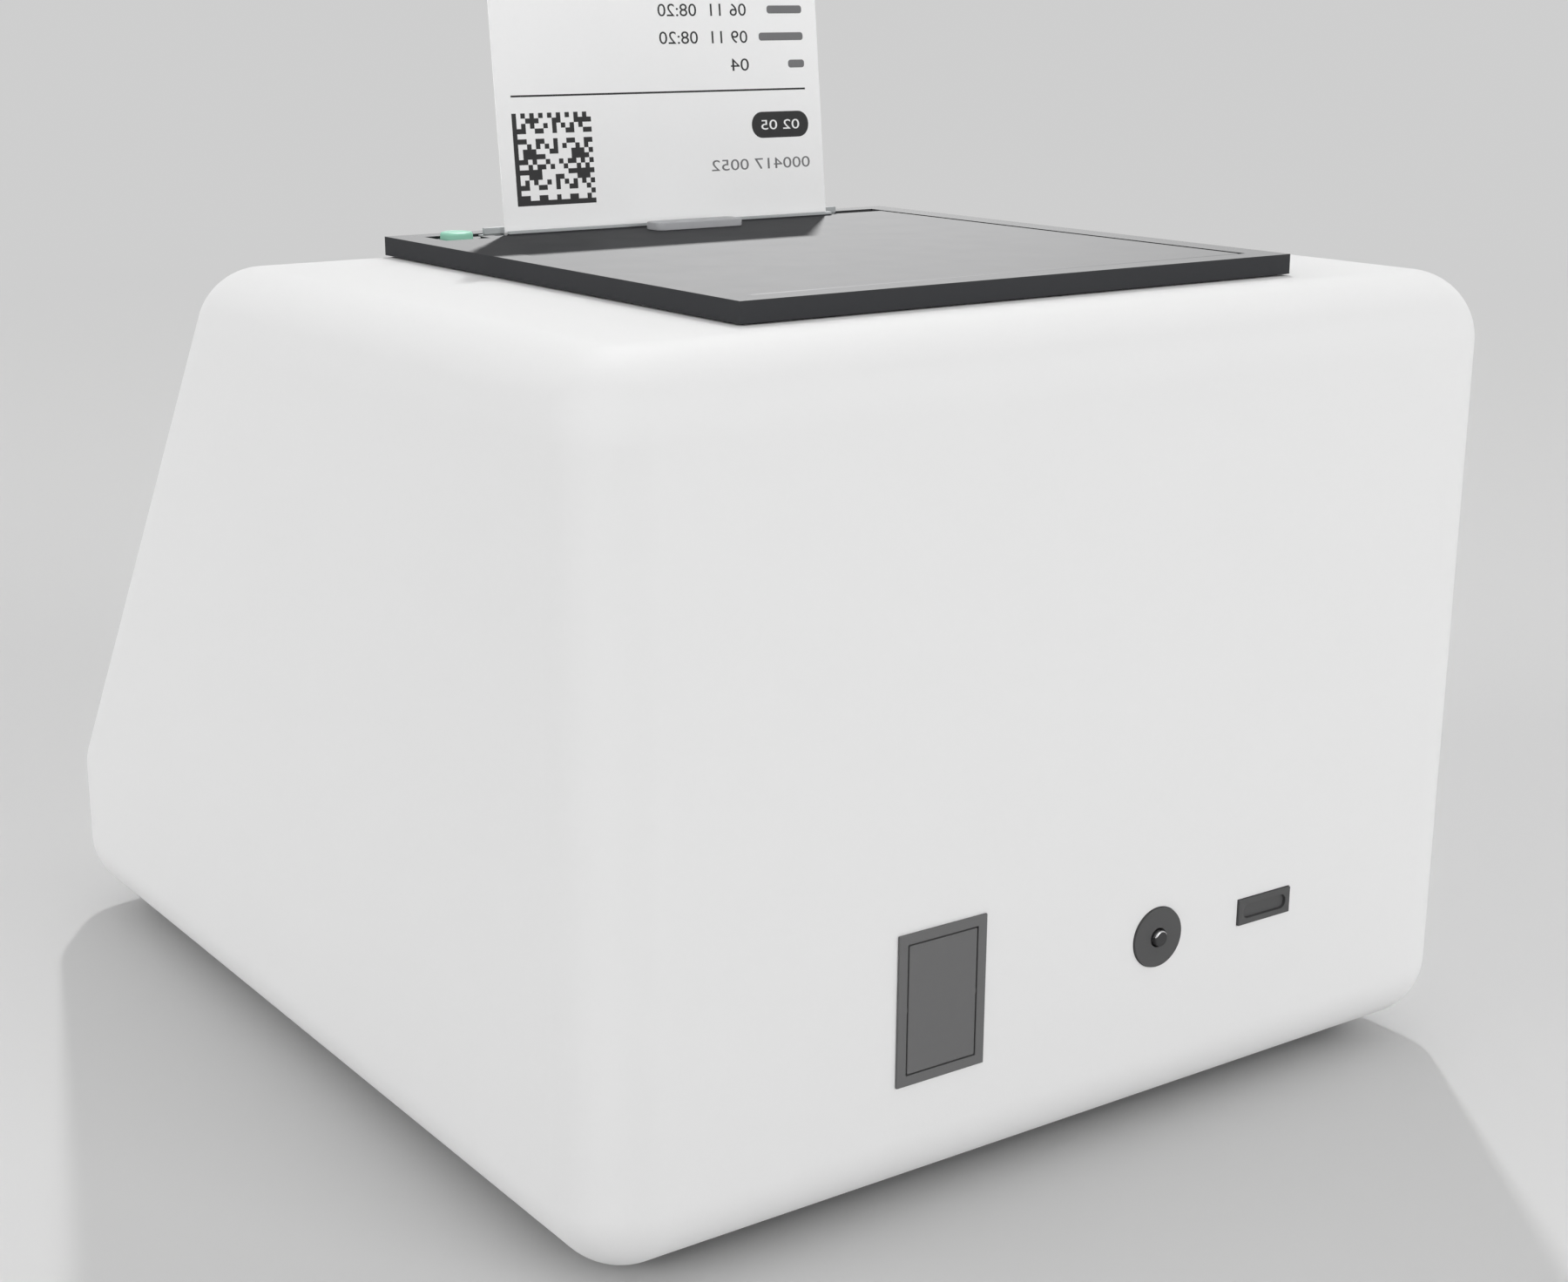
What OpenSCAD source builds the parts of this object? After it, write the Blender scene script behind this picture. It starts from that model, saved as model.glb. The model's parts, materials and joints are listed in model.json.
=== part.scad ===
// Desktop label printer: a white wedge body with a charcoal top deck, a door over the
// label roll, a paper slot with a tear bar, a feed button and a rear connector panel.
// Millimetres. The front faces -Y, +Z is up, and the origin is the footprint's centre
// on the surface that the feet stand on.

/* [Body shell] */
// Width of the white body
body_w = 160; // [150:1:180]
// Depth of the white body, from the front lip to the top of the rear wall
body_d = 189.3; // [185:0.1:210]
// Height of the white body
body_h = 120.2; // [116:0.1:135]
// Height of the upright front lip
lip_h = 27.8; // [24:0.1:40]
// Depth of the level top, from the rear wall to the front slope
top_d = 117.6; // [116:0.1:124]
// How far the foot of the rear wall stands in from its top
rear_lean = 1.5; // [0.5:0.1:3]
// Rounding of every outer edge
edge_r = 10.5; // [8:0.1:11.5]
// Wall thickness of the shell
wall = 2.5; // [2:0.1:3]

/* [Base] */
// Height of the rubber feet
foot_h = 1.5; // [1:0.1:4]
// Radius of a rubber foot
foot_r = 7; // [5:0.1:8]
// Thickness of the base plate
plate_t = 2; // [1.8:0.1:3]
// How far the base plate stands in from the sides of the body
plate_inset = 10; // [9:0.1:11]
// Width of the shell's floor flange that the base plate covers
flange_w = 12; // [11:0.1:14]
// Height of the bosses on the base plate
boss_h = 5; // [4:0.1:8]

/* [Top deck] */
// Width of the deck
deck_w = 97; // [96:0.1:104]
// Depth of the deck
deck_d = 99.35; // [98.5:0.05:101]
// Thickness of the deck
deck_t = 2.9; // [2.8:0.1:3.6]
// Shadow gap between the deck and the body
deck_gap = 0.25; // [0.1:0.05:0.6]
// Distance from the rear wall to the deck
deck_setback = 14.55; // [13.5:0.05:16]
// Width of the rim at each side of the recess
rim_side = 4.8; // [4.6:0.1:5.2]
// Width of the rim behind the recess
rim_rear = 4.2; // [3.8:0.1:5]
// Width of the rim in front of the recess
rim_front = 4.05; // [3.6:0.05:4.5]
// Depth of the recess
recess = 0.45; // [0.2:0.05:0.6]

/* [Door] */
// Thickness of the door
door_t = 2.4; // [2.2:0.1:2.5]
// How far the door's top lies below the rim
door_sink = 0.1; // [0.05:0.05:0.3]
// Height of the lip along the door's front edge
lip_rise = 0.6; // [0.1:0.05:0.8]
// Gap around the door
door_gap = 0.35; // [0.3:0.05:0.5]
// Radius of a hinge pin
pin_r = 0.8; // [0.6:0.05:0.85]
// Length of a hinge pin
pin_len = 9.5; // [8:0.1:10.5]
// Width of the finger tab
tab_w = 16.5; // [12:0.1:24]
// Depth of the finger tab
tab_d = 4.5; // [3.5:0.1:7]
// Height of the finger tab
tab_h = 1.25; // [1:0.05:3]
// Distance from the door's front edge to the finger tab
tab_setback = 3.8; // [1.5:0.1:6]

/* [Label and roll] */
// Width of the label stock
label_w = 62.5; // [58:0.5:63]
// Length of the printed label
label_len = 56; // [30:1:66]
// Thickness of the label stock
label_t = 0.16; // [0.12:0.02:0.24]
// Lean of the printed label towards the front, in degrees
label_lean = 5.4; // [4:0.1:6]
// Radius of the label roll
roll_r = 36; // [26:0.5:37]
// Radius of the roll's cardboard core
core_r = 14; // [13:0.1:16]
// Wall of the cardboard core
core_t = 1.5; // [1:0.1:2]
// Radius of the spindle
spindle_r = 4; // [3:0.1:5]
// Distance from the rear wall to the roll's axis
roll_setback = 61.65; // [60:0.05:64]
// Depth of the roll's axis below the door
roll_drop = 46.2; // [45.5:0.1:50]

/* [Tear bar] */
// Width of the tear bar
bar_w = 68.5; // [64:0.1:70]
// Depth of the tear bar with its foot
bar_d = 2.25; // [1.8:0.05:2.5]
// Thickness of the tear bar's blade
bar_t = 0.75; // [0.6:0.05:1]
// Height of the tear bar above the deck
bar_rise = 1; // [0.8:0.05:2]
// How far the tear bar's blade stands out over its foot
bar_over = 0.4; // [0.2:0.05:0.5]
// Distance from the tear bar to the label
label_setback = 1.22; // [1.1:0.01:1.8]

/* [Print mechanism] */
// Radius of the platen roller
platen_r = 4.5; // [4.4:0.05:4.8]
// Radius of the platen shaft
shaft_r = 2; // [1.5:0.1:2.2]
// Outer radius of a platen bush
bush_r = 3; // [2.8:0.1:3.3]
// Space between the platen roller and the label
nip_gap = 0.45; // [0.4:0.01:0.6]
// Gear module
gear_module = 0.5; // [0.48:0.01:0.5]
// Width of the drive gears
gear_w = 3.4; // [2.4:0.1:3.6]
// Thickness of the sheet steel frame
mech_t = 1.2; // [1:0.1:1.3]
// Depth of the mechanism's floor below the door
mech_drop = 28.2; // [28:0.1:30]
// Radius of the motor
motor_r = 13; // [10:0.5:13.5]
// Length of the motor
motor_len = 18; // [14:0.5:22]
// Radius of the printhead's pivot
pivot_r = 1.5; // [1:0.1:1.8]

/* [Feed button] */
// Radius of the button
button_r = 2.55; // [2.2:0.05:2.65]
// Height of the button above the deck
button_rise = 0.8; // [0.75:0.05:2]
// Travel of the button
button_travel = 0.7; // [0.4:0.05:0.75]
// Distance from the mechanism's side plate to the button
button_offset = 3.95; // [3.7:0.05:4.3]

/* [Rear connectors] */
// Height of the connectors above the bottom of the body
port_h = 28.9; // [26:0.1:50]
// Distance from the middle to the power switch
rocker_x = 25.4; // [20:0.1:27]
// Width of the power switch
rocker_w = 15; // [13:0.1:16]
// Height of the power switch
rocker_h = 22; // [20:0.1:26]
// Distance from the middle to the power jack
jack_x = 14.3; // [13:0.1:18]
// Radius of the power jack
jack_r = 4.5; // [4:0.1:5]
// Radius of the power jack's pin
jack_pin_r = 1.2; // [0.8:0.05:1.3]
// Distance from the middle to the data socket
usb_x = 35.8; // [30:0.1:36]
// Width of the data socket
usb_w = 10.6; // [9.5:0.1:12]
// Height of the data socket
usb_h = 4; // [3.6:0.1:5]
// How far the connectors stand out of the rear wall
port_proud = 0.4; // [0.2:0.05:0.8]

/* [Fits] */
// Radial clearance of a shaft that turns
running_fit = 0.05; // [0.02:0.01:0.08]
// Clearance of a piece that is fixed in its seat
seat_fit = 0.1; // [0.05:0.01:0.2]
// Clearance of a pressed piece
press_fit = 0.02; // [0.01:0.01:0.04]
// Least space between pieces that move past each other
part_gap = 0.35; // [0.3:0.01:0.4]
// Radius of a screw's shank
screw_r = 1.25; // [1:0.05:1.4]

/* [Hidden] */
$fn = 64;
// How far a cutting shape runs past what it cuts
past = 1;
// How far joined shapes run into each other
sink = 0.5;

// Body: heights and the corners of the side profile
shell_z = foot_h + plate_t;
top_z = shell_z + body_h;
rear_y = body_d / 2;
rear_tilt = atan(rear_lean / body_h);
profile = [
    [rear_y - rear_lean, shell_z],
    [rear_y, top_z],
    [rear_y - top_d, top_z],
    [-rear_y, shell_z + lip_h],
    [-rear_y, shell_z]
];
arc_steps = 6;
arc_facets = 32;

// Base plate and the opening that it closes
plate_x = body_w / 2 - plate_inset;
plate_y0 = -rear_y + plate_inset;
plate_y1 = rear_y - rear_lean - plate_inset;
plate_corner_r = 6;
flange_end_w = flange_w * 2 / 3;
floor_x = plate_x - flange_w;
floor_y0 = plate_y0 + flange_end_w;
floor_y1 = plate_y1 - flange_end_w;
rim_h = 3;
rim_t = 1.5;
foot_inset = 14;
foot_side_inset = 20;
feet_at = [for (x = [-1, 1], y = [plate_y0 + foot_inset, plate_y1 - foot_inset])
    [x * (plate_x - foot_side_inset), y]];

// Screws: heads, holes that they cut into and holes that they pass through
screw_head_r = 2.8;
screw_head_h = 0.9;
screw_hole_r = screw_r + running_fit;
screw_pass_fit = 0.25;
screw_pass_r = screw_r + screw_pass_fit;
head_pass_fit = 0.2;
head_pass_r = screw_head_r + head_pass_fit;
boss_r = 4;
base_screw_len = 11;
base_screw_inset = 16;
base_screw_x = (floor_x + plate_x) / 2;
base_screws_at = [for (x = [-1, 1], y = [plate_y0 + base_screw_inset, plate_y1 - base_screw_inset])
    [x * base_screw_x, y]];

// Deck: heights, edges, its seat on the body and its collar in the body's mouth
deck_y1 = rear_y - deck_setback;
deck_y0 = deck_y1 - deck_d;
deck_z = top_z + deck_gap;
deck_top = deck_z + deck_t;
floor_z = deck_top - recess;
bay_x = deck_w / 2 - rim_side;
bay_y1 = deck_y1 - rim_rear;
recess_y0 = deck_y0 + rim_front;
bar_foot_t = 0.3;
seat_inset = 1.2;
front_overhang = 2.2;
collar_t = 2.15;
collar_rear_t = 1.4;
collar_h = 3.7;
lug_len = 10;
lug_reach = 0.9;
lug_h = 1;
lug_inset = 20;

// Feed button: the stack from the deck down to its board
button_gap = 0.3;
flange_step = 0.7;
button_fit = 0.25;
button_hole_r = button_r + button_fit;
button_y = recess_y0 + button_r + button_gap;
button_top = deck_top + button_rise;
flange_r = button_r + flange_step;
flange_t = 1.2;
flange_top = deck_z - button_gap;
flange_z = flange_top - flange_t;
stem_r = 1.3;
stem_len = 3.3;
stem_z = flange_z - stem_len;
tact_h = 3.5;
tact_w = 6;
tact_knob_r = 1.5;
tact_knob_h = 0.9;
board_t = 1.6;
button_board_w = 11;
tact_z = stem_z - button_travel - button_gap - tact_knob_h - tact_h;
tact_top = tact_z + tact_h;
button_board_z = tact_z - board_t;

// Label path: the label leans forward above the slot and the web hangs below it
label_y = recess_y0 + bar_d + label_setback;
label_tuck = 6.3;
label_z = floor_z - label_tuck;
web_y = label_y + label_tuck * tan(label_lean);
slot_front = 0.67;
slot_rear = 0.7;
slot_side = 2;
slot_y0 = label_y - slot_front;
slot_x = label_w / 2 + slot_side;

// Door: its edges, its hinge and the ribs under it
door_x = bay_x - door_gap;
door_y0 = label_y + slot_rear;
door_top = deck_top - door_sink;
door_z = door_top - door_t;
hinge_y = bay_y1 - door_gap - door_t / 2;
hinge_z = door_top - door_t / 2;
lip_d = 1;
pin_reach = 3.5;
tab_r = 1.2;
rib_h = 1.6;
rib_t = 1.4;
rib_spacing = 24;
rib_front = 2;
rib_rear = 6;

// Platen, the ears that hang it from the door and the plates beside it
platen_y = web_y + label_t / 2 + nip_gap + platen_r;
platen_drop = 0.6;
platen_z = door_z - platen_drop - platen_r;
roller_over = 0.3;
roller_x = label_w / 2 + roller_over;
ear_gap = 0.7;
ear_x = roller_x + ear_gap;
ear_t = 1.7;
ear_wall = 1.2;
ear_r = bush_r + ear_wall;
mech_gap = 0.4;
mech_x = ear_x + ear_t + mech_gap;
mech_z = floor_z - mech_drop;
bush_x = mech_x + mech_t;
notch_fit = 0.25;
notch_r = bush_r + part_gap + notch_fit;
notch_ease = 0.1;
notch_half = notch_r - notch_ease;
strip_gap = 0.3;
strip_x = bush_x + strip_gap;
strip_edge = 0.5;
strip_y = button_y + button_hole_r + strip_edge;
tongue_y = slot_y0 + door_gap;
button_x = bush_x + button_offset;

// Mouth of the body under the deck: it clears the deck's collar and the button's flange
mouth_x = max(bay_x + collar_t, button_x + flange_r) + seat_fit;
mouth_y0 = button_y - flange_r - button_gap;
mouth_y1 = bay_y1 + collar_rear_t + seat_fit;

// Drive: teeth, pitch radii and axes, on the left side
pressure = 20;
backlash = 0.06;
tooth_root = 1.25;
tooth_tip = 0.8;
tooth_steps = 4;
platen_teeth = 16;
small_teeth = 18;
large_teeth = 36;
pinion_teeth = 12;
train_angle = 240;
gear_gap = 1.3;
gear_x = bush_x + gear_gap;
wheel_gap = 0.8;
wheel_x = gear_x + gear_w + wheel_gap;
wheel_w = 2;
gear_y = platen_y;
gear_z = platen_z - gear_module * (platen_teeth + small_teeth) / 2;
platen_gear_r = gear_module * (platen_teeth / 2 + tooth_tip);
shaft_end = 0.2;
shaft_end_x = gear_x + gear_w + shaft_end;
motor_reach = gear_module * (large_teeth + pinion_teeth) / 2;
motor_y = gear_y + motor_reach * cos(train_angle);
motor_z = gear_z + motor_reach * sin(train_angle);
axle_r = 1;
bracket_x = wheel_x + wheel_w + 1;
motor_x = bracket_x + mech_t;
motor_back = 2;
pilot_r = 4;
motor_screw_inset = 3;
motor_screw_len = 4;
motor_screws_at = [for (a = [-45, 135]) [motor_y, motor_z] + polar(motor_r - motor_screw_inset, a)];
bracket_post_r = 2;
bracket_posts_at = [
    [gear_y - 11.5, gear_z + 5.6],
    [gear_y + 10, gear_z - 9.3],
    [motor_y - 12, motor_z + 2.5]
];

// Printhead: face, pivot and springs
head_gap = 0.3;
head_face = web_y - label_t / 2 - head_gap;
head_t = 1.2;
sink_t = 2.8;
head_drop = 0.5;
head_top = top_z - wall - head_drop;
head_h = 10.4;
head_z0 = head_top - head_h;
heatsink_h = 16.5;
sink_z0 = head_top - heatsink_h;
sink_y = head_face - head_t - sink_t;
pivot_y = sink_y + sink_t / 2;
pivot_z = sink_z0 + 1;
pivot_end = 0.5;
barrel_wall = 1.5;
barrel_r = pivot_r + barrel_wall;
spring_room = 7;
front_y = sink_y - spring_room;
spring_drop = 10.5;
spring_z = head_top - spring_drop;
spring_x = 20;
spring_wire = 0.5;
spring_slack = 0.3;
head_spring_r = 2.2;
head_spring_turns = 5;
head_spring_len = spring_room - spring_slack;
button_spring_r = 2;
button_spring_turns = 4;
button_spring_len = flange_z - spring_slack - tact_top;
coil_rings = 10;
wire_sides = 6;

// Frame of the mechanism
frame_y0 = front_y - mech_t;
frame_reach = 12.4;
frame_y1 = platen_y + frame_reach;
frame_step = 8;
frame_floor_y1 = frame_y1 - frame_step;
frame_shoulder = pivot_y - 2;
frame_chamfer = 12;
front_plate_over = 4;
front_plate_top = spring_z + front_plate_over;
sensor_drop = 4.1;
sensor_z = platen_z - platen_r - sensor_drop;
sensor_w = 12;
sensor_h = 3.2;
sensor_offset = 7;
sensor_y0 = platen_y + sensor_offset;
sensor_edge = 0.6;
sensor_y1 = frame_y1 - sensor_edge;
lens_r = 1;
lens_depth = 0.8;
shelf_y0 = sensor_y0 - sensor_edge;

// Roll and the bin that carries it
roll_y = rear_y - roll_setback;
roll_z = floor_z - roll_drop;
cheek_gap = 1.7;
cheek_x = bush_x + cheek_gap;
cheek_t = 2.5;
cheek_lead = 7;
cheek_y0 = front_y - cheek_lead;
cheek_reach = 36;
cheek_y1 = roll_y + cheek_reach;
cheek_half = 19;
cheek_rise = 20;
cheek_front_offset = 13;
cheek_front = platen_y + cheek_front_offset;
trough_gap = 2.5;
trough_r = roll_r + trough_gap;
trough_t = 2;
trough_drop = 8;
spindle_slot = spindle_r + running_fit;
spindle_end = 0.2;
hub_len = 7;
hub_lip_w = 2.5;
hub_lip_r = core_r + hub_lip_w;
hub_lip_t = 1.8;
bin_screw_inset = 8;
bin_screws_at = [for (x = [-1, 1], y = [cheek_y0 + bin_screw_inset, cheek_y1 - bin_screw_inset])
    [x * (cheek_x + cheek_t + boss_r), y]];
bin_screw_len = 8;
bin_lug_t = 2.5;
mech_screw_front = 3.2;
mech_screw_rear = 0.9;
mech_screws_at = [for (x = [-1, 1], y = [front_y + mech_screw_front, platen_y + mech_screw_rear])
    [x * (cheek_x + cheek_t / 2), y]];
mech_screw_len = 7;
pillar_wall = 1.4;
pillar_r = screw_r + pillar_wall;
pillar_h = 10;

// Web between the roll and the platen: the crossed tangent of two circles
web_gap = 0.3;
web_roll_r = roll_r + web_gap + label_t / 2;
web_platen_r = platen_r + nip_gap + label_t / 2;
web_end_gap = 0.1;
web_steps = 9;
span_y = platen_y - roll_y;
span_z = platen_z - roll_z;
web_angle = atan2(span_z, span_y)
    - acos((web_roll_r + web_platen_r) / norm([span_y, span_z]));
web_roll_end = [roll_y, roll_z] + polar(web_roll_r, web_angle);

// Boards: the chips are given by place, width, depth and height, with the place in depth
// as a share of half the board
board_w = 100;
board_front = 5.1;
board_y0 = floor_y0 + board_front;
board_rear = 4;
board_y1 = cheek_y0 - board_rear;
board_d = board_y1 - board_y0;
board_y = (board_y0 + board_y1) / 2;
board_z = shell_z + boss_h;
board_screw_inset = 5;
board_screws_at = [for (x = [-1, 1], y = [-1, 1])
    [x * (board_w / 2 - board_screw_inset), board_y + y * (board_d / 2 - board_screw_inset)]];
board_screw_len = 6;
chips = [
    [0, 0, 12, 12, 1.6],
    [-24, 0.21, 9, 7, 1.4],
    [20, -0.32, 16, 8, 7],
    [-30, -0.53, 18, 6, 6],
    [24, 0.42, 10, 10, 4]
];
capacitors_at = [[-12, -0.47], [35, -0.47]];
capacitor_r = 4;
capacitor_h = 11;
port_z = shell_z + port_h;
io_margin = 8;
io_y = cheek_y1 + 2;
io_x0 = -usb_x - io_margin;
io_x1 = -jack_x + io_margin;
io_lift = 4;
io_z0 = shell_z + io_lift;
io_over = 10;
io_z1 = port_z + io_over;
post_w = 3;
post_back = 1.5;
post_h = 10;

// Rear connectors: depths behind the rear wall
wall_y = rear_y - rear_lean * (1 - port_h / body_h);
neck_len = 2;
block_y1 = wall_y - wall - 1;
rocker_rim = 0.7;
rocker_depth = 12;
rocker_wall = 0.8;
rocker_gap = 0.2;
rocker_pivot = 1.2;
rocker_pivot_r = 1;
rocker_neck_w = rocker_w - 2 * rocker_rim;
rocker_neck_h = rocker_h - 2 * rocker_rim;
rocker_room_w = rocker_neck_w - 2 * rocker_wall;
rocker_room_h = rocker_neck_h - 2 * rocker_wall;
paddle_w = rocker_room_w - 2 * rocker_gap;
paddle_h = rocker_room_h - 2 * rocker_gap;
paddle_depth = 6;
paddle_edge = 0.6;
paddle_back = 0.45;
paddle_pin = 0.6;
paddle_pin_x = paddle_w / 2 + paddle_pin;
paddle_pin_end = 0.1;
paddle_bore_x = paddle_pin_x + paddle_pin_end;
blades_at = [-6, 6];
blade_w = 4.8;
blade_t = 0.8;
blade_len = 6;
jack_pin_room = 0.25;
jack_bore_r = jack_pin_r + jack_pin_room;
jack_bore_depth = 9;
jack_pin_root = 3;
jack_pin_proud = 0.7;
jack_step = 0.4;
jack_half = jack_r - jack_step;
usb_wall = 0.9;
usb_depth = 7;
usb_step = 0.3;
usb_mouth_w = usb_w - 2 * usb_wall;
usb_mouth_h = usb_h - 2 * usb_wall;
usb_mouth_ease = 0.05;
usb_mouth_r = usb_mouth_h / 2 - usb_mouth_ease;
tongue_gap = 0.3;
tongue_back = 0.15;

// Shared shapes

// A shape on the right and its mirror image on the left
module pair() {
    children();
    mirror([1, 0, 0]) children();
}

// A shape at each place in a list, on the level z
module at_each(places, z) {
    for (p = places) translate([p[0], p[1], z]) children();
}

// A side outline, given as depth and height, made solid from x0 to x1
module across(x0, x1) {
    translate([x0, 0, 0]) rotate([90, 0, 90]) linear_extrude(x1 - x0) children();
}

// A round bar along X
module rod(x0, x1, y, z, r) {
    translate([x0, y, z]) rotate([0, 90, 0]) cylinder(h = x1 - x0, r = r);
}

// A block from its lowest to its highest corner
module block(low, high) {
    translate(low) cube(high - low);
}

// A rectangle with true round corners, centred
module round_rect(w, d, r) {
    square([w - 2 * r, d], center = true);
    square([w, d - 2 * r], center = true);
    for (x = [-1, 1], y = [-1, 1]) translate([x * (w / 2 - r), y * (d / 2 - r)]) circle(r);
}

// The body's rounded form, drawn in by an inset from its skin
module rounded_body(inset) {
    r = edge_r - inset;
    hull() for (i = [0 : arc_steps]) {
        a = 90 * i / arc_steps;
        half = body_w / 2 - edge_r + r * sin(a);
        across(-half, half) offset(r = r * cos(a), $fn = arc_facets) offset(delta = -edge_r) polygon(profile);
    }
}

// A screw standing on its head, tip up
module screw(length) {
    cylinder(h = screw_head_h, r = screw_head_r);
    cylinder(h = length, r = screw_r);
}

// A screw driven down into the level z
module screw_down(z, length) {
    translate([0, 0, z + screw_head_h]) mirror([0, 0, 1]) screw(length);
}

// A place on the rear wall, with +Z pointing out of the wall and +Y up along it
module on_rear(x, depth = 0) {
    translate([x, wall_y, port_z]) rotate([90 + rear_tilt, 0, 180]) translate([0, 0, -depth]) children();
}

// A rectangular bar along Z, centred on it
module bar(w, d, length) {
    linear_extrude(length) square([w, d], center = true);
}

// Half the angle of a tooth at radius r, for a tooth thinned by its backlash
function involute(a) = tan(a) - a * PI / 180;
function tooth_angle(n, r) = let (pitch = gear_module * n / 2, base = pitch * cos(pressure))
    90 / n - backlash / pitch * 180 / PI
    + (involute(pressure) - involute(acos(min(1, base / max(r, base))))) * 180 / PI;
function polar(r, a) = [r * cos(a), r * sin(a)];

// A spur gear's outline, with a tooth on the +Y side at phase 0
module gear_outline(n, phase = 0) {
    pitch = gear_module * n / 2;
    root = pitch - tooth_root * gear_module;
    tip = pitch + tooth_tip * gear_module;
    low = max(root + 0.01, pitch * cos(pressure));
    radii = concat([root], [for (i = [0 : tooth_steps]) low + (tip - low) * i / tooth_steps]);
    last = tooth_steps + 1;
    polygon([for (k = [0 : n - 1]) let (mid = phase + 360 * k / n) each concat(
        [for (i = [0 : last]) polar(radii[i], mid - tooth_angle(n, radii[i]))],
        [for (i = [last : -1 : 0]) polar(radii[i], mid + tooth_angle(n, radii[i]))]
    )]);
}

// Points along a coil that rises by its length in its turns
function coil(r, length, turns) = [for (i = [0 : turns * coil_rings])
    let (a = 360 * i / coil_rings) [r * cos(a), r * sin(a), length * i / (turns * coil_rings)]];

// The least gap between one turn of a coil and the next
function coil_gap(points) = min([for (i = [0 : len(points) - 1], j = [i + 1 : len(points) - 1])
    if (j - i > coil_rings / 2) norm(points[i] - points[j])]) - spring_wire;

// A coil spring of round wire, standing on Z, wound within its length
module coil_spring(r, length, turns) {
    path = coil(r, length - spring_wire, turns);
    rings = [for (i = [0 : len(path) - 1])
        let (a = 360 * i / coil_rings)
        for (s = [0 : wire_sides - 1])
            let (b = 360 * s / wire_sides, out = spring_wire / 2 * cos(b))
            path[i] + [out * cos(a), out * sin(a), spring_wire / 2 * (1 + sin(b))]];
    last = len(path) - 1;
    sleeve = [for (i = [0 : last - 1], s = [0 : wire_sides - 1])
        let (t = (s + 1) % wire_sides, p = i * wire_sides, q = (i + 1) * wire_sides)
        each [[p + s, q + s, q + t], [p + s, q + t, p + t]]];
    tail = last * wire_sides;
    ends = [for (s = [1 : wire_sides - 2]) each [[0, s, s + 1], [tail, tail + s + 1, tail + s]]];
    polyhedron(points = rings, faces = concat(sleeve, ends));
}

// Body and base

module upper_shell() {
    boss_z = shell_z + wall / 2;
    rear_cut = 3 * wall;
    color("whitesmoke") difference() {
        union() {
            difference() {
                rounded_body(0);
                rounded_body(wall);
            }
            at_each(base_screws_at, boss_z) cylinder(h = base_screw_len - wall / 2, r = boss_r);
        }
        block([-mouth_x, mouth_y0, top_z - 2 * wall], [mouth_x, mouth_y1, top_z + past]);
        block([-floor_x, floor_y0, shell_z - past], [floor_x, floor_y1, shell_z + 2 * wall]);
        at_each(base_screws_at, shell_z - past) cylinder(h = base_screw_len, r = screw_hole_r);
        on_rear(rocker_x, 2 * wall)
            bar(rocker_neck_w + 2 * seat_fit, rocker_neck_h + 2 * seat_fit, rear_cut);
        on_rear(-jack_x, 2 * wall) cylinder(h = rear_cut, r = jack_r + seat_fit);
        on_rear(-usb_x, 2 * wall) bar(usb_w + 2 * seat_fit, usb_h + 2 * seat_fit, rear_cut);
    }
}

module base_plate() {
    rim_x = floor_x - seat_fit;
    rim_y0 = floor_y0 + seat_fit;
    rim_y1 = floor_y1 - seat_fit;
    low_z = shell_z - plate_t / 2;
    bosses_at = concat(bin_screws_at, board_screws_at);
    color("dimgray") difference() {
        union() {
            translate([0, (plate_y0 + plate_y1) / 2, foot_h]) linear_extrude(plate_t)
                round_rect(2 * plate_x, plate_y1 - plate_y0, plate_corner_r);
            difference() {
                block([-rim_x, rim_y0, shell_z], [rim_x, rim_y1, shell_z + rim_h]);
                block([-rim_x + rim_t, rim_y0 + rim_t, shell_z - past],
                    [rim_x - rim_t, rim_y1 - rim_t, top_z]);
            }
            at_each(bosses_at, low_z) cylinder(h = boss_h + plate_t / 2, r = boss_r);
            for (x = [io_x0, io_x1])
                block([x - post_w, io_y - post_w, low_z],
                    [x + post_w, io_y + board_t + post_back, io_z0 + post_h]);
        }
        block([io_x0 - seat_fit, io_y - seat_fit, io_z0],
            [io_x1 + seat_fit, io_y + board_t + seat_fit, top_z]);
        at_each(bosses_at, low_z) cylinder(h = boss_h + plate_t, r = screw_hole_r);
        at_each(base_screws_at, foot_h - past) {
            cylinder(h = past + screw_head_h + seat_fit, r = head_pass_r);
            cylinder(h = plate_t + 2 * past, r = screw_pass_r);
        }
    }
}

module rubber_feet() {
    bevel = 0.5;
    color("black") at_each(feet_at, 0) rotate_extrude()
        polygon([[0, 0], [foot_r - bevel, 0], [foot_r, bevel], [foot_r, foot_h], [0, foot_h]]);
}

module base_screws() {
    color("silver") at_each(base_screws_at, foot_h + seat_fit) screw(base_screw_len - seat_fit - past);
}

// Deck and door

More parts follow.
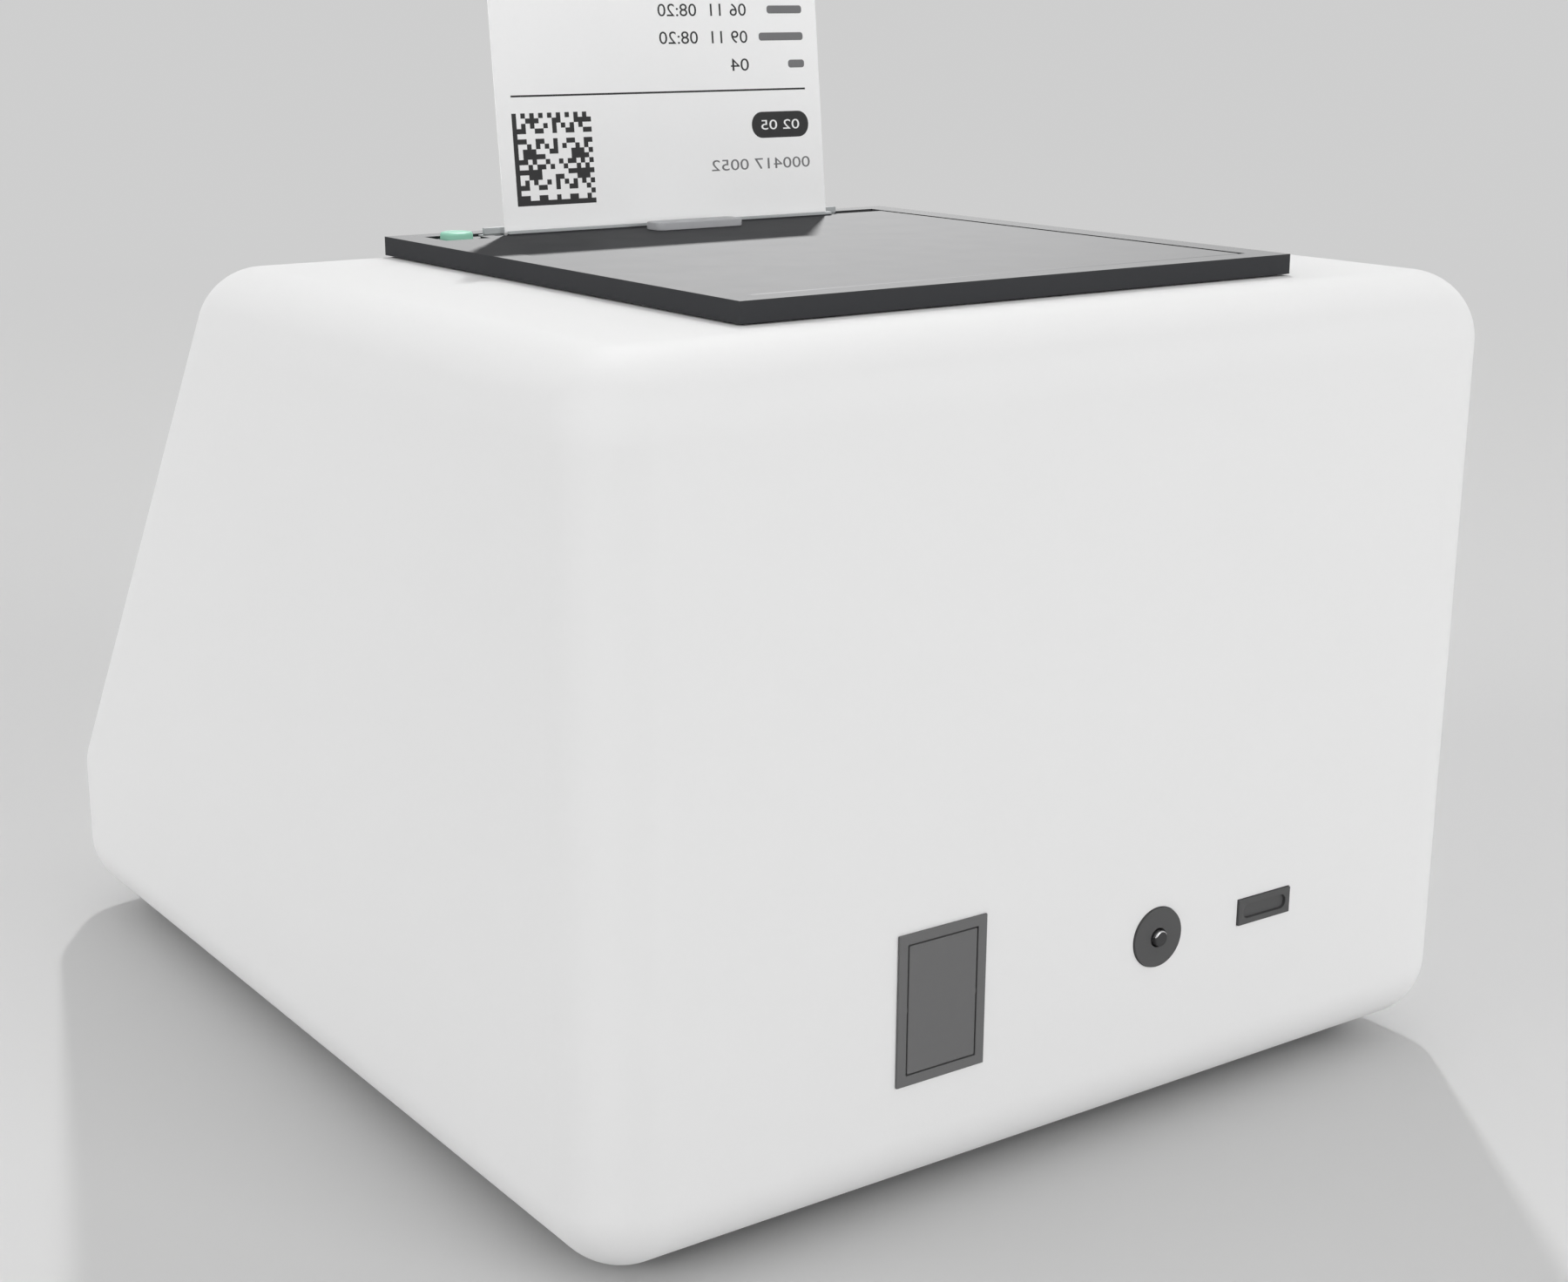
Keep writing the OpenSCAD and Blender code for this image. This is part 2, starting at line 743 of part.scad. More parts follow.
module top_deck() {
    low_z = top_z - 2 * collar_h;
    high_z = deck_top + past;
    lug_z = top_z - wall - seat_fit;
    color("dimgray") difference() {
        union() {
            block([-deck_w / 2, deck_y0, deck_z], [deck_w / 2, deck_y1, deck_top]);
            block([-deck_w / 2 + seat_inset, deck_y0 + front_overhang, top_z],
                [deck_w / 2 - seat_inset, deck_y1 - seat_inset, deck_z + sink]);
            block([-bay_x - collar_t, slot_y0, top_z - collar_h],
                [bay_x + collar_t, mouth_y1 - seat_fit, deck_z + sink]);
            for (y = [slot_y0 + lug_inset, bay_y1 - lug_inset]) pair()
                block([bay_x + collar_t - lug_reach, y - lug_len / 2, lug_z - lug_h],
                    [mouth_x + lug_reach, y + lug_len / 2, lug_z]);
        }
        block([-bay_x, recess_y0, floor_z], [bay_x, bay_y1, high_z]);
        block([-bay_x, strip_y, low_z], [bay_x, bay_y1, high_z]);
        block([-bay_x, slot_y0, low_z], [strip_x, strip_y + past, high_z]);
        block([strip_x, slot_y0 - past, low_z], [bay_x, strip_y + past, deck_z]);
        translate([button_x, button_y, top_z - past]) cylinder(h = high_z - top_z + past, r = button_hole_r);
        translate([button_x, button_y, low_z]) cylinder(h = top_z - low_z, r = flange_r + button_gap);
        rod(-shaft_end_x - part_gap, -bush_x, platen_y, platen_z, platen_gear_r + part_gap);
        pair() rod(bay_x - sink, bay_x + pin_reach + sink, hinge_y, hinge_z, pin_r + running_fit);
    }
}

module tear_bar() {
    top = deck_top + bar_rise;
    y0 = recess_y0 + seat_fit;
    y1 = recess_y0 + bar_d;
    foot_top = floor_z + bar_foot_t;
    color("darkgray") across(-bar_w / 2, bar_w / 2)
        polygon([[y0, floor_z], [y1 - bar_over, floor_z], [y1 - bar_over, deck_top], [y1, deck_top],
            [y1, top], [y1 - bar_t, top], [y1 - bar_t, foot_top], [y0, foot_top]]);
}

module media_door() {
    front = tongue_y - past;
    low_z = door_z - past;
    high_z = door_top + past;
    color("dimgray") difference() {
        union() {
            difference() {
                block([-door_x, tongue_y, door_z], [door_x, hinge_y, door_top]);
                block([-slot_x, front, low_z], [slot_x, door_y0, high_z]);
                block([strip_x - door_gap, front, low_z], [door_x + past, strip_y + door_gap, high_z]);
            }
            rod(-door_x, door_x, hinge_y, hinge_z, door_t / 2);
            block([-label_w / 2, door_y0, door_z], [label_w / 2, door_y0 + lip_d, door_top + lip_rise]);
            pair() across(ear_x, ear_x + ear_t) {
                translate([platen_y, platen_z]) circle(ear_r);
                translate([platen_y - ear_r, platen_z]) square([2 * ear_r, door_z - platen_z + sink]);
            }
            for (x = [-rib_spacing, 0, rib_spacing])
                block([x - rib_t / 2, platen_y + platen_r + rib_front, door_z - rib_h],
                    [x + rib_t / 2, hinge_y - rib_rear, door_z + sink]);
        }
        pair() rod(ear_x - past, ear_x + ear_t + past, platen_y, platen_z, bush_r + press_fit);
        pair() rod(door_x - pin_len - sink, door_x + sink, hinge_y, hinge_z, pin_r + press_fit);
    }
}

module door_tab() {
    color("darkgray") translate([0, door_y0 + tab_setback + tab_d / 2, door_top])
        linear_extrude(tab_h) round_rect(tab_w, tab_d, tab_r);
}

module hinge_pins() {
    outer = bay_x + pin_reach;
    color("silver") pair() rod(outer - pin_len, outer, hinge_y, hinge_z, pin_r);
}

// Platen and drive

module platen_bushes() {
    color("ivory") pair() difference() {
        rod(ear_x, bush_x, platen_y, platen_z, bush_r);
        rod(ear_x - past, bush_x + past, platen_y, platen_z, shaft_r + running_fit);
    }
}

module platen_roller() {
    color("black") difference() {
        rod(-roller_x, roller_x, platen_y, platen_z, platen_r);
        rod(-roller_x - past, roller_x + past, platen_y, platen_z, shaft_r + press_fit);
    }
}

module platen_shaft() {
    color("silver") rod(-shaft_end_x, bush_x - shaft_end, platen_y, platen_z, shaft_r);
}

module platen_gear() {
    color("ivory") difference() {
        across(-gear_x - gear_w, -gear_x) translate([platen_y, platen_z]) gear_outline(platen_teeth);
        rod(-gear_x - gear_w - past, -gear_x + past, platen_y, platen_z, shaft_r + press_fit);
    }
}

module mech_frame() {
    low_x = mech_x - past;
    high_x = bush_x + past;
    color("silver") difference() {
        union() {
            pair() across(mech_x, bush_x) polygon([[frame_y0, mech_z], [frame_y1, mech_z],
                [frame_y1, head_top], [frame_shoulder, head_top], [frame_y0, head_top - frame_chamfer]]);
            block([-cheek_x - cheek_t, frame_y0, mech_z],
                [cheek_x + cheek_t, frame_floor_y1, mech_z + mech_t]);
            block([-bush_x, frame_y0, mech_z], [bush_x, front_y, front_plate_top]);
            block([-bush_x, shelf_y0, sensor_z - mech_t], [bush_x, frame_y1, sensor_z]);
            block([mech_x, button_y - button_board_w / 2, button_board_z - mech_t],
                [button_x + button_board_w / 2, button_y + button_board_w / 2, button_board_z]);
        }
        pair() rod(low_x, high_x, platen_y, platen_z, notch_r);
        pair() rod(low_x, high_x, pivot_y, pivot_z, pivot_r + running_fit);
        pair() block([low_x, platen_y - notch_half, platen_z], [high_x, platen_y + notch_half, top_z]);
        rod(-high_x, -low_x, gear_y, gear_z, axle_r + press_fit);
        at_each(mech_screws_at, mech_z - past) cylinder(h = mech_t + 2 * past, r = screw_pass_r);
    }
}

module mech_screws() {
    color("silver") at_each(mech_screws_at, 0) screw_down(mech_z + mech_t, mech_screw_len);
}

module motor_bracket() {
    front_edge = 1.6;
    rear_edge = 4;
    reach_down = 10;
    reach_up = 7.7;
    slope_y = gear_y - 9.6;
    slope_z = motor_z + 4.1;
    y0 = motor_y - motor_r - front_edge;
    y1 = motor_y + motor_r + rear_edge;
    z0 = motor_z - reach_down;
    z1 = gear_z + reach_up;
    low_x = -motor_x - past;
    high_x = -bracket_x + past;
    color("silver") difference() {
        union() {
            across(-motor_x, -bracket_x)
                polygon([[y0, z0], [y1, z0], [y1, z1], [slope_y, z1], [y0, slope_z]]);
            for (p = bracket_posts_at) rod(-bracket_x - mech_t / 2, -bush_x, p[0], p[1], bracket_post_r);
        }
        rod(low_x, high_x, motor_y, motor_z, pilot_r + seat_fit);
        rod(low_x, high_x, gear_y, gear_z, axle_r + press_fit);
        for (p = motor_screws_at) rod(low_x, high_x, p[0], p[1], screw_hole_r);
    }
}

module motor_case() {
    color("gray") difference() {
        union() {
            rod(-motor_x - motor_len, -motor_x, motor_y, motor_z, motor_r);
            rod(-motor_x - past, -bracket_x, motor_y, motor_z, pilot_r);
        }
        rod(-motor_x - motor_len + motor_back, -bracket_x + past, motor_y, motor_z, axle_r + running_fit);
        for (p = motor_screws_at)
            rod(-motor_x - motor_screw_len - past, -motor_x + past, p[0], p[1], screw_hole_r);
    }
}

module motor_screws() {
    color("silver") for (p = motor_screws_at) {
        rod(-bracket_x, -bracket_x + screw_head_h, p[0], p[1], screw_head_r);
        rod(-motor_x - motor_screw_len, -bracket_x + screw_head_h, p[0], p[1], screw_r);
    }
}

module motor_shaft() {
    back = -motor_x - motor_len + motor_back + past;
    color("silver") rod(back, -wheel_x + shaft_end, motor_y, motor_z, axle_r);
}

module motor_pinion() {
    half_pitch = 180 / pinion_teeth;
    color("gold") difference() {
        across(-wheel_x - wheel_w, -wheel_x)
            translate([motor_y, motor_z]) gear_outline(pinion_teeth, half_pitch);
        rod(-wheel_x - wheel_w - past, -wheel_x + past, motor_y, motor_z, axle_r + press_fit);
    }
}

module gear_axle() {
    color("silver") rod(-motor_x, -mech_x, gear_y, gear_z, axle_r);
}

module reduction_gear() {
    color("ivory") difference() {
        union() {
            across(-wheel_x - wheel_w, -wheel_x) translate([gear_y, gear_z]) gear_outline(large_teeth);
            across(-wheel_x - wheel_w / 2, -gear_x) translate([gear_y, gear_z]) gear_outline(small_teeth);
        }
        rod(-bracket_x, -bush_x, gear_y, gear_z, axle_r + running_fit);
    }
}

// Printhead

module thermal_printhead() {
    color("wheat") block([-roller_x, head_face - head_t, head_z0], [roller_x, head_face, head_top]);
}

module head_heatsink() {
    half = mech_x - part_gap;
    color("lightgray") difference() {
        union() {
            block([-half, sink_y, sink_z0], [half, sink_y + sink_t, head_top]);
            rod(-half, half, pivot_y, pivot_z, barrel_r);
        }
        rod(-half - past, half + past, pivot_y, pivot_z, pivot_r + press_fit);
    }
}

module head_pivot() {
    half = bush_x + pivot_end;
    color("silver") rod(-half, half, pivot_y, pivot_z, pivot_r);
}

module head_springs() {
    color("silver") for (x = [-spring_x, spring_x])
        translate([x, front_y, spring_z]) rotate([-90, 0, 0])
            coil_spring(head_spring_r, head_spring_len, head_spring_turns);
}

module gap_sensor() {
    color("black") difference() {
        block([-sensor_w / 2, sensor_y0, sensor_z], [sensor_w / 2, sensor_y1, sensor_z + sensor_h]);
        translate([0, (sensor_y0 + sensor_y1) / 2, sensor_z + sensor_h - lens_depth])
            cylinder(h = lens_depth + past, r = lens_r);
    }
}

// Roll

module roll_bin() {
    high_x = cheek_x + cheek_t + past;
    lug_z = shell_z + boss_h;
    cheek_top = roll_z + cheek_rise;
    color("dimgray") difference() {
        union() {
            pair() across(cheek_x, cheek_x + cheek_t) polygon([[cheek_y0, shell_z], [cheek_y1, shell_z],
                [cheek_y1, roll_z - cheek_rise], [roll_y + cheek_half, cheek_top],
                [roll_y - cheek_half, cheek_top], [cheek_front, mech_z], [cheek_y0, mech_z]]);
            across(-cheek_x - sink, cheek_x + sink) difference() {
                translate([roll_y, roll_z]) circle(trough_r + trough_t);
                translate([roll_y, roll_z]) circle(trough_r);
                translate([roll_y - 2 * roll_r, roll_z - trough_drop]) square(4 * roll_r);
            }
            for (p = bin_screws_at) {
                translate([p[0], p[1], lug_z]) cylinder(h = bin_lug_t, r = boss_r);
                block([min(p[0], sign(p[0]) * cheek_x), p[1] - boss_r, lug_z],
                    [max(p[0], sign(p[0]) * cheek_x), p[1] + boss_r, lug_z + bin_lug_t]);
            }
            at_each(mech_screws_at, mech_z - pillar_h) cylinder(h = pillar_h, r = pillar_r);
        }
        rod(-high_x, high_x, roll_y, roll_z, spindle_slot);
        block([-high_x, roll_y - spindle_slot, roll_z], [high_x, roll_y + spindle_slot, top_z]);
        at_each(bin_screws_at, lug_z - past) cylinder(h = bin_lug_t + 2 * past, r = screw_pass_r);
        at_each(bin_screws_at, shell_z - past) cylinder(h = boss_h + past, r = boss_r + seat_fit);
        at_each(mech_screws_at, mech_z - pillar_h + past) cylinder(h = pillar_h, r = screw_hole_r);
    }
}

module bin_screws() {
    color("silver") at_each(bin_screws_at, 0) screw_down(shell_z + boss_h + bin_lug_t, bin_screw_len);
}

module roll_spindle() {
    end = cheek_x + cheek_t - spindle_end;
    color("black") rod(-end, end, roll_y, roll_z, spindle_r);
}

module roll_hubs() {
    face = label_w / 2;
    outer = face + hub_lip_t;
    color("gray") pair() difference() {
        union() {
            rod(face - hub_len, outer, roll_y, roll_z, core_r - core_t - press_fit);
            rod(face + press_fit, outer, roll_y, roll_z, hub_lip_r);
        }
        rod(face - hub_len - past, outer + past, roll_y, roll_z, spindle_r + press_fit);
    }
}

module roll_core() {
    color("tan") difference() {
        rod(-label_w / 2, label_w / 2, roll_y, roll_z, core_r);
        rod(-label_w, label_w, roll_y, roll_z, core_r - core_t);
    }
}

module label_roll() {
    color("white") difference() {
        rod(-label_w / 2, label_w / 2, roll_y, roll_z, roll_r);
        rod(-label_w, label_w, roll_y, roll_z, core_r + press_fit);
    }
}

// Label

module label_web() {
    out = label_t / 2;
    turns = [for (i = [0 : web_steps]) 180 + web_angle * i / web_steps];
    outer = [for (a = turns) [platen_y, platen_z] + polar(web_platen_r + out, a)];
    inner = [for (i = [web_steps : -1 : 0]) [platen_y, platen_z] + polar(web_platen_r - out, turns[i])];
    aside = polar(out, web_angle);
    top = label_z - web_end_gap;
    color("white") across(-label_w / 2, label_w / 2) polygon(concat([[web_y - out, top]], outer,
        [web_roll_end - aside, web_roll_end + aside], inner, [[web_y + out, top]]));
}

module printed_label() {
    color("white") translate([0, web_y, label_z]) rotate([label_lean, 0, 0])
        block([-label_w / 2, -label_t / 2, 0], [label_w / 2, label_t / 2, label_len]);
}

// Boards

module main_board() {
    color("seagreen") difference() {
        translate([0, board_y, board_z]) bar(board_w, board_d, board_t);
        at_each(board_screws_at, board_z - past) cylinder(h = board_t + 2 * past, r = screw_pass_r);
    }
}

module board_chips() {
    color("black") translate([0, board_y, board_z + board_t]) {
        for (c = chips) translate([c[0], c[1] * board_d / 2, 0]) bar(c[2], c[3], c[4]);
        for (c = capacitors_at) translate([c[0], c[1] * board_d / 2, 0])
            cylinder(h = capacitor_h, r = capacitor_r);
    }
}

module board_screws() {
    color("silver") at_each(board_screws_at, 0) screw_down(board_z + board_t, board_screw_len);
}

module io_board() {
    color("seagreen") block([io_x0, io_y, io_z0], [io_x1, io_y + board_t, io_z1]);
}

// Rear connectors

module power_jack() {
    neck = wall + neck_len;
    color("dimgray") difference() {
        union() {
            on_rear(-jack_x, neck) cylinder(h = neck + port_proud, r = jack_r);
            block([-jack_x - jack_half, io_y + board_t, port_z - jack_half],
                [-jack_x + jack_half, block_y1, port_z + jack_half]);
        }
        on_rear(-jack_x, jack_bore_depth) cylinder(h = jack_bore_depth + 2 * past, r = jack_bore_r);
        on_rear(-jack_x, jack_bore_depth + jack_pin_root)
            cylinder(h = jack_bore_depth, r = jack_pin_r + press_fit);
    }
}

module jack_pin() {
    root = jack_bore_depth + jack_pin_root;
    color("gray") on_rear(-jack_x, root) cylinder(h = root + port_proud + jack_pin_proud, r = jack_pin_r);
}

module usb_socket() {
    neck = wall + neck_len;
    half_w = usb_w / 2 - usb_step;
    half_h = usb_h / 2 - usb_step;
    color("dimgray") difference() {
        union() {
            on_rear(-usb_x, neck) bar(usb_w, usb_h, neck + port_proud);
            block([-usb_x - half_w, io_y + board_t, port_z - half_h],
                [-usb_x + half_w, block_y1, port_z + half_h]);
        }
        on_rear(-usb_x, usb_depth) linear_extrude(usb_depth + 2 * past)
            round_rect(usb_mouth_w, usb_mouth_h, usb_mouth_r);
    }
}

module usb_tongue() {
    color("dimgray") on_rear(-usb_x, usb_depth) linear_extrude(usb_depth - tongue_back)
        round_rect(usb_mouth_w - 2 * tongue_gap, usb_mouth_h - 2 * tongue_gap, usb_mouth_r - tongue_gap);
}

module switch_frame() {
    color("gray") difference() {
        union() {
            on_rear(rocker_x) bar(rocker_w, rocker_h, port_proud);
            on_rear(rocker_x, rocker_depth)
                bar(rocker_neck_w, rocker_neck_h, rocker_depth + port_proud / 2);
        }
        on_rear(rocker_x, rocker_depth - rocker_wall)
            bar(rocker_room_w, rocker_room_h, rocker_depth + past);
        on_rear(rocker_x, rocker_pivot - port_proud)
            rod(-paddle_bore_x, paddle_bore_x, 0, 0, rocker_pivot_r + running_fit);
        for (y = blades_at) on_rear(rocker_x, rocker_depth + past) translate([0, y, 0])
            bar(blade_w + 2 * press_fit, blade_t + 2 * press_fit, rocker_wall + 2 * past);
    }
}

module switch_blades() {
    color("goldenrod") for (y = blades_at) on_rear(rocker_x, rocker_depth + blade_len)
        translate([0, y, 0]) bar(blade_w, blade_t, blade_len + rocker_wall + sink);
}

module power_rocker() {
    face = port_proud;
    half = paddle_h / 2;
    color("gray") {
        on_rear(rocker_x) across(-paddle_w / 2, paddle_w / 2) polygon([
            [-half, face], [half, face], [half, face - paddle_edge],
            [paddle_back * half, face - paddle_depth], [-paddle_back * half, face - paddle_depth],
            [-half, face - paddle_edge]]);
        on_rear(rocker_x, rocker_pivot - face) rod(-paddle_pin_x, paddle_pin_x, 0, 0, rocker_pivot_r);
    }
}

// Feed button

module feed_button() {
    edge = 0.25;
    color("aquamarine") translate([button_x, button_y, 0]) rotate_extrude() polygon([
        [0, stem_z], [stem_r, stem_z], [stem_r, flange_z], [flange_r, flange_z],
        [flange_r, flange_top], [button_r, flange_top], [button_r, button_top - edge],
        [button_r - edge, button_top], [0, button_top]]);
}

module button_spring() {
    color("silver") translate([button_x, button_y, tact_top])
        coil_spring(button_spring_r, button_spring_len, button_spring_turns);
}

module tact_switch() {
    color("black") translate([button_x, button_y, tact_z]) {
        bar(tact_w, tact_w, tact_h);
        cylinder(h = tact_h + tact_knob_h, r = tact_knob_r);
    }
}

module button_board() {
    color("seagreen") block([bush_x + seat_fit, button_y - button_board_w / 2, button_board_z],
        [button_x + button_board_w / 2, button_y + button_board_w / 2, button_board_z + board_t]);
}

head_coil = coil(head_spring_r, head_spring_len - spring_wire, head_spring_turns);
button_coil = coil(button_spring_r, button_spring_len - spring_wire, button_spring_turns);
echo(head_spring_gap = coil_gap(head_coil));
echo(button_spring_gap = coil_gap(button_coil));

upper_shell();
base_plate();
rubber_feet();
base_screws();
top_deck();
tear_bar();
media_door();
door_tab();
hinge_pins();
platen_bushes();
platen_roller();
platen_shaft();
platen_gear();
mech_frame();
mech_screws();
motor_bracket();
motor_case();
motor_screws();
motor_shaft();
motor_pinion();
gear_axle();
reduction_gear();
thermal_printhead();
head_heatsink();
head_pivot();
head_springs();
gap_sensor();
roll_bin();
bin_screws();
roll_spindle();
roll_hubs();
roll_core();
label_roll();
label_web();
printed_label();
main_board();
board_chips();
board_screws();
io_board();
power_jack();
jack_pin();
usb_socket();
usb_tongue();
switch_frame();
switch_blades();
power_rocker();
feed_button();
button_spring();
tact_switch();
button_board();
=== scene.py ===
import json
from math import atan2, cos, pi, radians, sin

import bmesh
import bpy
from mathutils import Matrix, Vector


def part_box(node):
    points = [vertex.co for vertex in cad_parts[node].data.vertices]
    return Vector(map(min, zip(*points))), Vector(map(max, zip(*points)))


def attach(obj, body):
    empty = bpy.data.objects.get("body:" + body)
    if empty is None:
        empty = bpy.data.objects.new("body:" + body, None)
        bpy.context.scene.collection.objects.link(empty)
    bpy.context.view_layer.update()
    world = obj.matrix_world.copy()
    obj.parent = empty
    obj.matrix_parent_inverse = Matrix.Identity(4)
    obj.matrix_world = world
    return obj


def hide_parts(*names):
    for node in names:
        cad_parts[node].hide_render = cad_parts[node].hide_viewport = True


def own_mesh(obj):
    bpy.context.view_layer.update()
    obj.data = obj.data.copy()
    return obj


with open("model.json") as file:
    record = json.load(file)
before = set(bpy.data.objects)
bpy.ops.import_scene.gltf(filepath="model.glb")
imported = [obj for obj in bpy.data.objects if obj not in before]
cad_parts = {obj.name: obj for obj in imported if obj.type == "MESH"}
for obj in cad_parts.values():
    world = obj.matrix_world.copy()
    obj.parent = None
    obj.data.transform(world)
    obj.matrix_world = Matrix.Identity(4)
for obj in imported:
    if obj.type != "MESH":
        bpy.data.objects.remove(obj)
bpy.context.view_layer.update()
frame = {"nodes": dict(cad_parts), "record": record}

MM = 0.001
scene = bpy.context.scene

# Camera: it looks down at the rear right corner of the printer, from just above
# the deck, so the rear connectors and the back of the label are seen.
camera = bpy.data.objects.new("camera", bpy.data.cameras.new("camera"))
camera.data.sensor_fit = "HORIZONTAL"
camera.data.sensor_width = 36.0
camera.data.lens = 55.69
camera.data.clip_start = 0.01
camera.location = (0.216735, 0.330058, 0.164166)
look_down, look_turn = 15.04, 145.014
camera.rotation_euler = (radians(90.0 - look_down), 0.0, radians(look_turn))
scene.collection.objects.link(camera)
scene.camera = camera

# Studio: a pale floor that runs out into an even pale surround, a small lamp high in front
# that skims the deck, and broad soft lamps that fill from behind, from the side and from above.
scene.view_settings.view_transform = "Standard"
surround = bpy.data.worlds.new("surround")
scene.world = surround
surround.use_nodes = True
surround_light = surround.node_tree.nodes["Background"]
surround_tone = 0.62
surround_light.inputs["Strength"].default_value = surround_tone
surround_light.inputs["Color"].default_value = (1.0, 1.0, 1.0, 1.0)


def lamp(name, kind, energy, place, aim, size):
    """A lamp at a place that aims at a point. Size is a disk's width, or the angle of a far lamp."""
    data = bpy.data.lights.new(name, kind)
    data.energy = energy
    if kind == "AREA":
        data.shape = "DISK"
        data.size = size
    else:
        data.angle = size
    obj = bpy.data.objects.new(name, data)
    obj.location = place
    obj.rotation_euler = (Vector(aim) - Vector(place)).to_track_quat("-Z", "Y").to_euler()
    scene.collection.objects.link(obj)
    return obj


key_height = radians(50.0)
key_turn = radians(145.0)
key_from = Vector((-sin(key_turn) * cos(key_height), cos(key_turn) * cos(key_height), sin(key_height)))
middle = Vector((0.0, 0.0, 0.08))
key_place = middle + key_from * 2.0
key_spread = radians(2.5)
lamp("key_lamp", "SUN", 0.9, key_place, middle, key_spread)
gloss_lamp = lamp("gloss_lamp", "SUN", 34.0, key_place, middle, key_spread)
gloss_lamp.visible_diffuse = False
fill_size, top_size = 1.2, 1.8
lamp("rear_lamp", "AREA", 15.0, (-0.41, 2.0, 0.65), middle, fill_size)
lamp("side_lamp", "AREA", 12.8, (2.0, -0.41, 0.55), middle, fill_size)
lamp("top_lamp", "AREA", 1.9, (0.0, 0.2, 2.0), middle, top_size)

floor_r = 4.0
floor_tone = 0.65
fade_near, fade_far = 0.35, 1.4
floor_mesh = bpy.data.meshes.new("floor")
shape = bmesh.new()
bmesh.ops.create_circle(shape, cap_ends=True, radius=floor_r, segments=96)
shape.to_mesh(floor_mesh)
shape.free()
floor = bpy.data.objects.new("floor", floor_mesh)
scene.collection.objects.link(floor)
paint = bpy.data.materials.new("floor_paint")
paint.use_nodes = True
tree = paint.node_tree
tree.nodes.clear()
place = tree.nodes.new("ShaderNodeTexCoord")
far = tree.nodes.new("ShaderNodeVectorMath")
far.operation = "LENGTH"
fade = tree.nodes.new("ShaderNodeMapRange")
fade.interpolation_type = "SMOOTHSTEP"
fade.inputs["From Min"].default_value = fade_near
fade.inputs["From Max"].default_value = fade_far
matt = tree.nodes.new("ShaderNodeBsdfDiffuse")
matt.inputs["Color"].default_value = (floor_tone, floor_tone, floor_tone, 1.0)
haze = tree.nodes.new("ShaderNodeEmission")
haze.inputs["Strength"].default_value = surround_tone
blend = tree.nodes.new("ShaderNodeMixShader")
out = tree.nodes.new("ShaderNodeOutputMaterial")
tree.links.new(place.outputs["Object"], far.inputs[0])
tree.links.new(far.outputs["Value"], fade.inputs["Value"])
tree.links.new(fade.outputs["Result"], blend.inputs["Fac"])
tree.links.new(matt.outputs["BSDF"], blend.inputs[1])
tree.links.new(haze.outputs["Emission"], blend.inputs[2])
tree.links.new(blend.outputs["Shader"], out.inputs["Surface"])
floor_mesh.materials.append(paint)

# Base plate and feet: a dark moulded plate screwed to the shell's floor flange, on four
# rubber feet that are stuck into the plate's corners.


def group_sockets(group, inputs, outputs):
    """Makes a node group's named sockets and gives back its two end nodes."""
    kinds = {"colour": "NodeSocketColor", "value": "NodeSocketFloat"}
    for name, kind, start in inputs:
        socket = group.interface.new_socket(name, in_out="INPUT", socket_type=kinds[kind])
        socket.default_value = start
    for name, kind in outputs:
        group.interface.new_socket(name, in_out="OUTPUT", socket_type=kinds[kind])
    return group.nodes.new("NodeGroupInput"), group.nodes.new("NodeGroupOutput")


def noise(tree, vector, scale, detail=2.0, dimensions="3D"):
    """A noise of mean one half over a place, or along one length."""
    node = tree.nodes.new("ShaderNodeTexNoise")
    node.noise_dimensions = dimensions
    node.inputs["Detail"].default_value = detail
    if dimensions == "1D":
        tree.links.new(vector, node.inputs["W"])
    else:
        tree.links.new(vector, node.inputs["Vector"])
    if isinstance(scale, (int, float)):
        node.inputs["Scale"].default_value = scale
    else:
        tree.links.new(scale, node.inputs["Scale"])
    return node.outputs["Fac"]


def sum_of(tree, operation, first, second):
    """One step of arithmetic on two values."""
    node = tree.nodes.new("ShaderNodeMath")
    node.operation = operation
    for socket, value in zip(node.inputs, (first, second)):
        if isinstance(value, (int, float)):
            socket.default_value = value
        else:
            tree.links.new(value, socket)
    return node.outputs["Value"]


def swing(tree, fac, amount):
    """Turns a noise of mean one half into a value that swings about one by an amount."""
    about_zero = sum_of(tree, "SUBTRACT", fac, 0.5)
    return sum_of(tree, "ADD", sum_of(tree, "MULTIPLY", about_zero, amount), 1.0)


def tinted(tree, colour, value):
    """A colour made lighter or darker by a value."""
    node = tree.nodes.new("ShaderNodeVectorMath")
    node.operation = "SCALE"
    tree.links.new(colour, node.inputs[0])
    tree.links.new(value, node.inputs["Scale"])
    return node.outputs["Vector"]


# Spark-eroded mould skin: a fine grain, with gloss and tone that drift a little over the face
moulded = bpy.data.node_groups.new("moulded_skin", "ShaderNodeTree")
given, gives = group_sockets(
    moulded,
    [("Colour", "colour", (0.5, 0.5, 0.5, 1.0)), ("Tone drift", "value", 0.04), ("Grain", "value", 3500.0),
     ("Gloss", "value", 0.45), ("Gloss drift", "value", 0.15)],
    [("Colour", "colour"), ("Roughness", "value"), ("Height", "value")])
place = moulded.nodes.new("ShaderNodeTexCoord").outputs["Object"]
drift_scale, speck_scale, gloss_scale = 22.0, 900.0, 140.0
drift = noise(moulded, place, drift_scale)
speck = noise(moulded, place, speck_scale, 3.0)
speck_share = sum_of(moulded, "MULTIPLY", given.outputs["Tone drift"], 0.8)
tone = sum_of(moulded, "MULTIPLY", swing(moulded, drift, given.outputs["Tone drift"]),
              swing(moulded, speck, speck_share))
moulded.links.new(tinted(moulded, given.outputs["Colour"], tone), gives.inputs["Colour"])
gloss = swing(moulded, noise(moulded, place, gloss_scale, 4.0), given.outputs["Gloss drift"])
moulded.links.new(sum_of(moulded, "MULTIPLY", given.outputs["Gloss"], gloss), gives.inputs["Roughness"])
